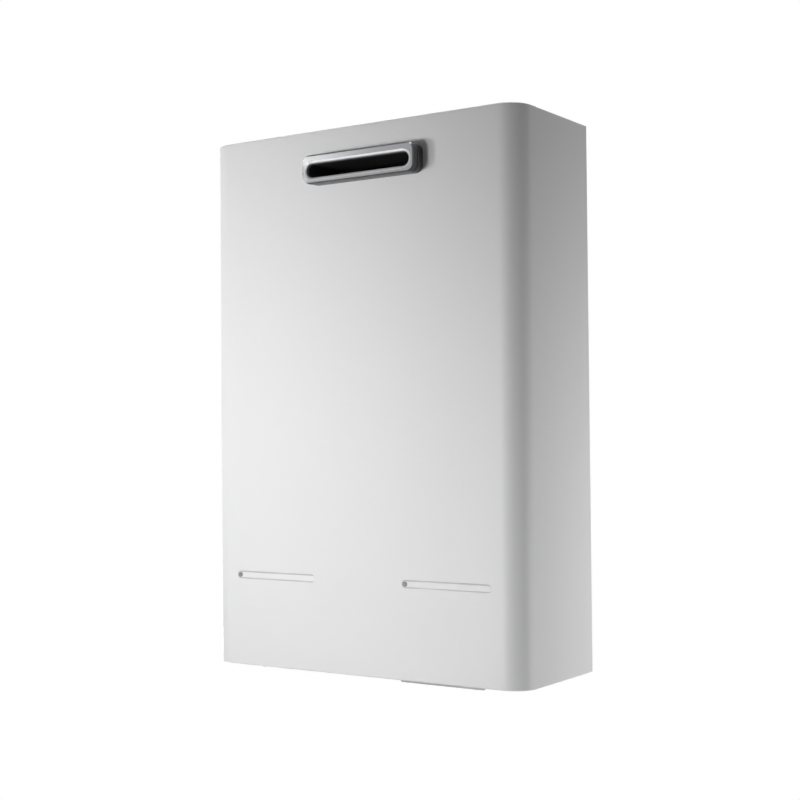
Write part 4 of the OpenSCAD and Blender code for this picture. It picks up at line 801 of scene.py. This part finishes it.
class HEATER_OT_screws(Operator):
    """Four cover screws: domed heads with a cross recess, and their shanks."""

    bl_idname = "heater.screws"
    bl_label = "Cover screws"

    def execute(self, context):
        small = context.scene.heater_small
        low, high = box_of("cover_screws")
        cover_low, cover_high = box_of("front_cover")
        parts, inset = [], 8 * MM
        for x in (-small.screw_spacing, small.screw_spacing):
            under = np.array([x, cover_low[1] + inset, cover_low[2]])
            over = np.array([x, cover_high[1] - inset, cover_high[2]])
            parts.append(screw(under, -1, cover_low[2] - low[2], small.screw_radius))
            parts.append(screw(over, 1, high[2] - cover_high[2], small.screw_radius))
        make_piece("cover_screw_heads", parts, "cover", "screw steel",
                   ["cover_screws"], 40)
        return {"FINISHED"}


def screw(seat, up, rise, radius, shank=7 * MM):
    """Screw on a seat: head height over (r, t) is rise * (1 - 0.45 * (r / radius)^4), cut by a cross.

    The cross is two bars 0.28 radius wide out to 0.62 radius, with sloping walls. The skirt goes
    down to the seat, and the shank goes on below it.
    """
    ring = np.linspace(0, 1, 15)[:, None]
    turn = np.linspace(0, 2 * np.pi, 48, endpoint=False)[None, :]
    x, y = ring * np.cos(turn), ring * np.sin(turn)
    bar = np.minimum(np.minimum(np.abs(x), np.abs(y)) - 0.14, np.maximum(np.abs(x), np.abs(y)) - 0.62)
    cut = np.clip(-bar / 0.06, 0, 1)
    top = rise * (1 - 0.45 * ring ** 4 - 0.5 * cut)
    head = np.stack([seat[0] + radius * x, seat[1] + radius * y, seat[2] + up * top], -1)
    skirt = head[-1:].copy()
    skirt[..., 2] = seat[2]
    under = skirt * 0.5 + 0.5 * seat
    foot = under - np.array([0, 0, up * shank])
    tip = np.repeat(foot.mean(1, keepdims=True), turn.size, 1)
    return surface(np.concatenate([head, skirt, under, foot, tip]), wrap=True)


WIRE_ROUTES = (
    ((-176, -45, -41), (-176, -69, -41), (-95, -127, 26.5), (-54, -144, 47.5), (-44, -142, 50.5),
     (-44, -133, 50.5)),
    ((-136, -46, 0), (-136, -46, -14), (-110, -63, -46), (-63.5, -80.2, -53), (-23.5, -80.2, -54),
     (-23.5, -80.2, -63)),
    ((-144, -46, 0), (-144, -46, -40), (-102, -31, -106.7), (-105, -31, -132.7), (-105, -31, -146.7)),
    ((-152, -46, 0), (-152, -46, -40), (-132, -31, -106.7), (-135, -31, -132.7), (-135, -31, -146.7)),
    ((-160, -46, 0), (-160, -46, -40), (-164, -35, -152.7), (-164, -35, -242.7), (-142, -80, -263.7),
     (-40, -87, -277.7), (97, -87, -277.7), (118, -67, -278.7), (130, -47, -280.7), (138, -47, -280.7),
     (142, -47, -280.7), (157.7, -47, -280.7)),
)


class HEATER_OT_harness(Operator):
    """Bundles of twisted wires between the board, the sensors and the motors."""

    bl_idname = "heater.harness"
    bl_label = "Wire harness"

    def execute(self, context):
        small = context.scene.heater_small
        parts = [bundle(smooth_path(np.array(route) * MM), small.wire_radius, small.wire_strands)
                 for route in WIRE_ROUTES]
        make_piece("wire_bundles", parts, "chassis", "wire cover", ["wire_harness"], 60)
        return {"FINISHED"}


class HEATER_OT_board(Operator):
    """Circuit board with its relays, capacitors, connectors and heat sink, laid out in steps of 4 mm."""

    bl_idname = "heater.board"
    bl_label = "Control board"

    def execute(self, context):
        low, high = box_of("control_board")
        thickness, fin, g = 1.6 * MM, 2 * MM, 4 * MM
        face = high[1] - thickness
        left, right, foot, top = low[0], high[0], low[2], high[2]
        panel = make_piece("board_panel", [block((left, face, foot), (right, high[1], top))], "chassis",
                           "board green", ["control_board"])
        bevel(panel, 0.3 * MM, 2)

        def boxes(name, spans, finish_name, edge):
            parts = [block((x0, face - rise, z0), (x1, face, z1)) for x0, x1, rise, z0, z1 in spans]
            bevel(make_piece(name, parts, "chassis", finish_name), edge)

        boxes("board_transformer",
              [(left + 1.25 * g, left + 8.25 * g, 5.5 * g, top - 10.5 * g, top - 2 * g)],
              "black plastic", 0.8 * MM)
        boxes("board_relays", [(right - 4.25 * g, right - g, 3.5 * g, top - 6 * g * (i + 1),
                                top - 6 * g * i - 2 * g) for i in range(3)],
              "relay blue", 0.5 * MM)
        boxes("board_chip", [(left + 1.5 * g, left + 7.5 * g, g, foot + 13.5 * g, foot + 19.5 * g)],
              "black plastic", 0.3 * MM)
        boxes("board_plugs", [(left + (1 + 3.25 * i) * g, left + (3.25 + 3.25 * i) * g, 2.25 * g,
                               foot + 1.25 * g, foot + 3.25 * g) for i in range(4)],
              "white plastic", 0.4 * MM)
        fins = np.linspace(left + 1.25 * g, right - 2 * g - fin, 8)
        boxes("board_heat_sink", [(left + 1.25 * g, right - 2 * g, g, foot + 6 * g, foot + 10 * g)]
              + [(x, x + fin, 4 * g, foot + 6 * g, foot + 10 * g) for x in fins],
              "cast aluminium", 0.3 * MM)
        cans = []
        r, rise = 2 * g, 5 * g
        profile = [(0, 0), (r, 0), (r, 0.08 * rise), (0.94 * r, 0.11 * rise), (0.94 * r, 0.14 * rise),
                   (r, 0.17 * rise), (r, 0.94 * rise), (0.94 * r, rise), (0.8 * r, rise),
                   (0.78 * r, 0.985 * rise), (0, 0.985 * rise)]
        for i in range(2):
            cans.append(lathe(profile, (left + (3.5 + 5.5 * i) * g, face, top - 16.5 * g), (0, -1, 0), 40))
        make_piece("board_capacitors", cans, "chassis", "motor enamel")
        return {"FINISHED"}


class HEATER_OT_bodies(Operator):
    """Cast, moulded and pressed bodies with rounded edges, and threads on the three unions."""

    bl_idname = "heater.bodies"
    bl_label = "Rounded bodies"

    def execute(self, context):
        size = context.scene.heater_thread
        unions = size.unions.split()
        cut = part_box("lock_nuts")[1].z - size.nut_cover
        for width, nodes in NODES_TO_ROUND.items():
            for node in nodes.split():
                rounded_copy(node, width * MM, cut if node in unions else None)
        threads = []
        for node in unions:
            low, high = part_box(node)
            threads.append(thread(((low.x + high.x) / 2, size.union_y), low.z, cut, size))
        make_piece("union_threads", threads, "chassis", "cast brass", sharp=50)
        return {"FINISHED"}


def thread(centre, low, high, size):
    """Threaded stub with a bore: radius(t, z) = crest - depth * (1 - cos(2 pi z / pitch - t)) / 2.

    A cone at the lower end holds the radius down, so the thread starts gently.
    """
    turn = np.linspace(0, 2 * np.pi, 72, endpoint=False)
    rows = int(10 * (high - low) / size.pitch)
    z = np.linspace(low, high, rows)[:, None]
    wave = size.crest - size.depth * (1 - np.cos(2 * np.pi * z / size.pitch - turn)) / 2
    radius = np.minimum(wave, size.crest - 1.1 * size.depth + (z - low))
    bore = np.full((1, len(turn)), size.bore)
    radius = np.concatenate([bore, radius, bore, bore])
    height = np.concatenate([z[:1], z, z[-1:], z[:1]])
    points = np.stack([centre[0] + radius * np.cos(turn), centre[1] + radius * np.sin(turn),
                       np.repeat(height, len(turn), 1)], -1)
    return surface(points, wrap=True)


# Stage

LAMPS = (
    # name, azimuth and elevation in degrees, point aimed at, radius of the soft beam there, power,
    # distance and radius of the lamp
    ("wide left", (-35, -12), (-0.30, -0.15, 0.10), 0.6, 253, 4.0, 0.45),
    ("lower left", (-35, -12), (0.30, -0.15, -0.35), 0.4, 815, 4.0, 0.45),
    ("middle front", (-15, -12), (-0.30, -0.15, 0.10), 0.4, 240, 2.0, 0.45),
    ("lower front", (-15, -12), (-0.30, -0.15, -0.15), 0.4, 28, 2.0, 0.45),
    ("low right", (70, -10), (0.20, -0.14, -0.55), 0.4, 221, 4.0, 0.45),
    ("right side", (100, -12), (0.20, 0.35, -0.35), 0.5, 491, 4.0, 0.45),
    ("right rear", (120, -12), (0.20, 0.35, -0.10), 0.5, 610, 4.0, 0.45),
    ("left rear", (-120, -12), (-0.20, 0.35, -0.20), 0.6, 420, 4.0, 0.45),
    ("over the top", (180, 80), (0.0, -0.07, 0.29), 0.7, 300, 4.0, 0.45),
    ("outlet left", (-37, 11), (-0.075, -0.17, 0.243), 0.15, 6.5, 4.0, 0.045),
)


def maths(tree, operation, first, second):
    """Socket with the result of an operation on two sockets."""
    node = tree.nodes.new("ShaderNodeMath")
    node.operation = operation
    tree.links.new(first, node.inputs[0])
    tree.links.new(second, node.inputs[1])
    return node.outputs[0]


def show_mix(tree, share, first, second, output):
    """Lead a mix of two shaders to an output's surface. The share is that of the second one."""
    mix = tree.nodes.new("ShaderNodeMixShader")
    for source, socket in zip((share, first.outputs[0], second.outputs[0]), mix.inputs):
        tree.links.new(source, socket)
    tree.links.new(mix.outputs[0], tree.nodes.new(output).inputs["Surface"])


def seen_share(tree):
    """Socket that is 1 for camera, mirror and glass rays and 0 for diffuse ones."""
    path = add_node(tree, "ShaderNodeLightPath").outputs
    seen = maths(tree, "MAXIMUM", path["Is Camera Ray"], path["Is Glossy Ray"])
    return maths(tree, "MAXIMUM", seen, path["Is Transmission Ray"])


class HEATER_OT_stage(Operator):
    """Floor, white surroundings, lamps and camera."""

    bl_idname = "heater.stage"
    bl_label = "Stage"

    def execute(self, context):
        settings = context.scene.heater_stage
        make_world(context.scene, settings)
        make_floor(settings)
        for lamp in LAMPS:
            context.scene.collection.objects.link(make_lamp(*lamp))
        make_camera(context.scene, settings)
        context.scene.view_settings.view_transform = "Standard"
        return {"FINISHED"}


def make_lamp(name, turn, point, beam, power, reach, radius):
    """Distant spot with a soft edge, aimed at a point. Azimuth 0 stands in front, 90 on +X."""
    azimuth, elevation = (math.radians(angle) for angle in turn)
    way = Vector((math.sin(azimuth) * math.cos(elevation), -math.cos(azimuth) * math.cos(elevation),
                  math.sin(elevation)))
    lamp = bpy.data.lights.new(name, "SPOT")
    lamp.spot_size = 2 * math.atan(beam / reach)
    lamp.spot_blend = 1.0
    lamp.shadow_soft_size = radius
    lamp.energy = power
    holder = bpy.data.objects.new(name, lamp)
    holder.location = Vector(point) + reach * way
    holder.rotation_euler = (-way).to_track_quat("-Z", "Y").to_euler()
    return holder


def make_world(scene, settings):
    """World that is white where it is seen and a dimmer grey where it lights."""
    world = bpy.data.worlds.new("surroundings")
    scene.world = world
    world.use_nodes = True
    tree = world.node_tree
    tree.nodes.clear()
    dim = add_node(tree, "ShaderNodeBackground", Color=(1, 1, 1, 1), Strength=settings.ambient)
    white = add_node(tree, "ShaderNodeBackground", Color=(1, 1, 1, 1), Strength=1.0)
    show_mix(tree, seen_share(tree), dim, white, "ShaderNodeOutputWorld")


def make_floor(settings):
    """Pale floor: nearly white where it is seen, with the object's soft shadow left in it.

    The share of plain white grows from the middle outwards, so the far edge meets the world.
    """
    across = np.linspace(-7, 7, 15)
    x, y = np.meshgrid(across, across)
    points, quads = surface(np.stack([x, y, np.full_like(x, settings.floor_height)], -1))
    mesh = bpy.data.meshes.new("floor")
    mesh.from_pydata(points.tolist(), [], quads.tolist())
    material = bpy.data.materials.new("floor white")
    material.use_nodes = True
    tree = material.node_tree
    tree.nodes.clear()
    place = add_node(tree, "ShaderNodeTexCoord").outputs["Object"]
    far = tree.nodes.new("ShaderNodeVectorMath")
    far.operation = "LENGTH"
    tree.links.new(place, far.inputs[0])
    white = add_node(tree, "ShaderNodeMapRange", Value=far.outputs["Value"], From_Min=1.0, From_Max=3.0,
                     To_Min=0.85, To_Max=1.0)
    share = maths(tree, "MULTIPLY", seen_share(tree), white.outputs["Result"])
    matt = add_node(tree, "ShaderNodeBsdfDiffuse", Color=(0.9, 0.9, 0.9, 1))
    glow = add_node(tree, "ShaderNodeEmission", Color=(1, 1, 1, 1), Strength=1.0)
    show_mix(tree, share, matt, glow, "ShaderNodeOutputMaterial")
    mesh.materials.append(material)
    floor = bpy.data.objects.new("floor", mesh)
    bpy.context.scene.collection.objects.link(floor)


def make_camera(scene, settings):
    """Camera at the photograph's angle: yaw about Z, then pitch, then roll about its own axis."""
    yaw, pitch, roll = settings.yaw, settings.pitch, settings.roll
    ahead = np.array([-math.sin(yaw) * math.cos(pitch), math.cos(yaw) * math.cos(pitch), math.sin(pitch)])
    level = np.array([math.cos(yaw), math.sin(yaw), 0.0])
    over = np.cross(level, ahead)
    axis_x = math.cos(roll) * level + math.sin(roll) * over
    axis_y = -math.sin(roll) * level + math.cos(roll) * over
    camera = bpy.data.objects.new("camera", bpy.data.cameras.new("camera"))
    camera.data.lens = settings.lens
    camera.data.sensor_width = 36.0
    camera.data.clip_start = 0.05
    place = np.eye(4)
    place[:3, 0], place[:3, 1], place[:3, 2] = axis_x, axis_y, -ahead
    place[:3, 3] = settings.place
    camera.matrix_world = Matrix(place.tolist())
    scene.collection.objects.link(camera)
    scene.camera = camera


# Panel and registration

OPERATORS = (HEATER_OT_finishes, HEATER_OT_cover, HEATER_OT_trim, HEATER_OT_strips, HEATER_OT_studs,
             HEATER_OT_screws, HEATER_OT_harness, HEATER_OT_board, HEATER_OT_bodies, HEATER_OT_stage)
GROUPS = {"heater_finish": FinishSettings, "heater_cover": CoverSizes, "heater_outlet": OutletSizes,
          "heater_small": SmallPartSizes, "heater_thread": ThreadSizes, "heater_stage": StageSettings}


class HEATER_PT_panel(Panel):
    """Lists the pieces and the sizes of the heater."""

    bl_idname = "HEATER_PT_panel"
    bl_label = "Water heater"
    bl_space_type = "VIEW_3D"
    bl_region_type = "UI"
    bl_category = "Heater"

    def draw(self, context):
        for operator in OPERATORS:
            self.layout.operator(operator.bl_idname)
        for group in GROUPS:
            column = self.layout.column()
            settings = getattr(context.scene, group)
            for key in settings.__annotations__:
                column.prop(settings, key)


def register():
    """Register the settings, the operators and the panel."""
    for cls in (*GROUPS.values(), *OPERATORS, HEATER_PT_panel):
        bpy.utils.register_class(cls)
    for name, cls in GROUPS.items():
        setattr(bpy.types.Scene, name, PointerProperty(type=cls))


def unregister():
    """Undo register in reverse order."""
    for name in GROUPS:
        delattr(bpy.types.Scene, name)
    for cls in (HEATER_PT_panel, *OPERATORS[::-1], *GROUPS.values()):
        bpy.utils.unregister_class(cls)


def main():
    register()
    bpy.ops.heater.finishes()
    bpy.ops.heater.cover()
    bpy.ops.heater.trim()
    bpy.ops.heater.strips()
    bpy.ops.heater.studs()
    bpy.ops.heater.screws()
    bpy.ops.heater.harness()
    bpy.ops.heater.board()
    bpy.ops.heater.bodies()
    bpy.ops.heater.stage()
    bpy.context.view_layer.update()


if __name__ == "__main__":
    main()
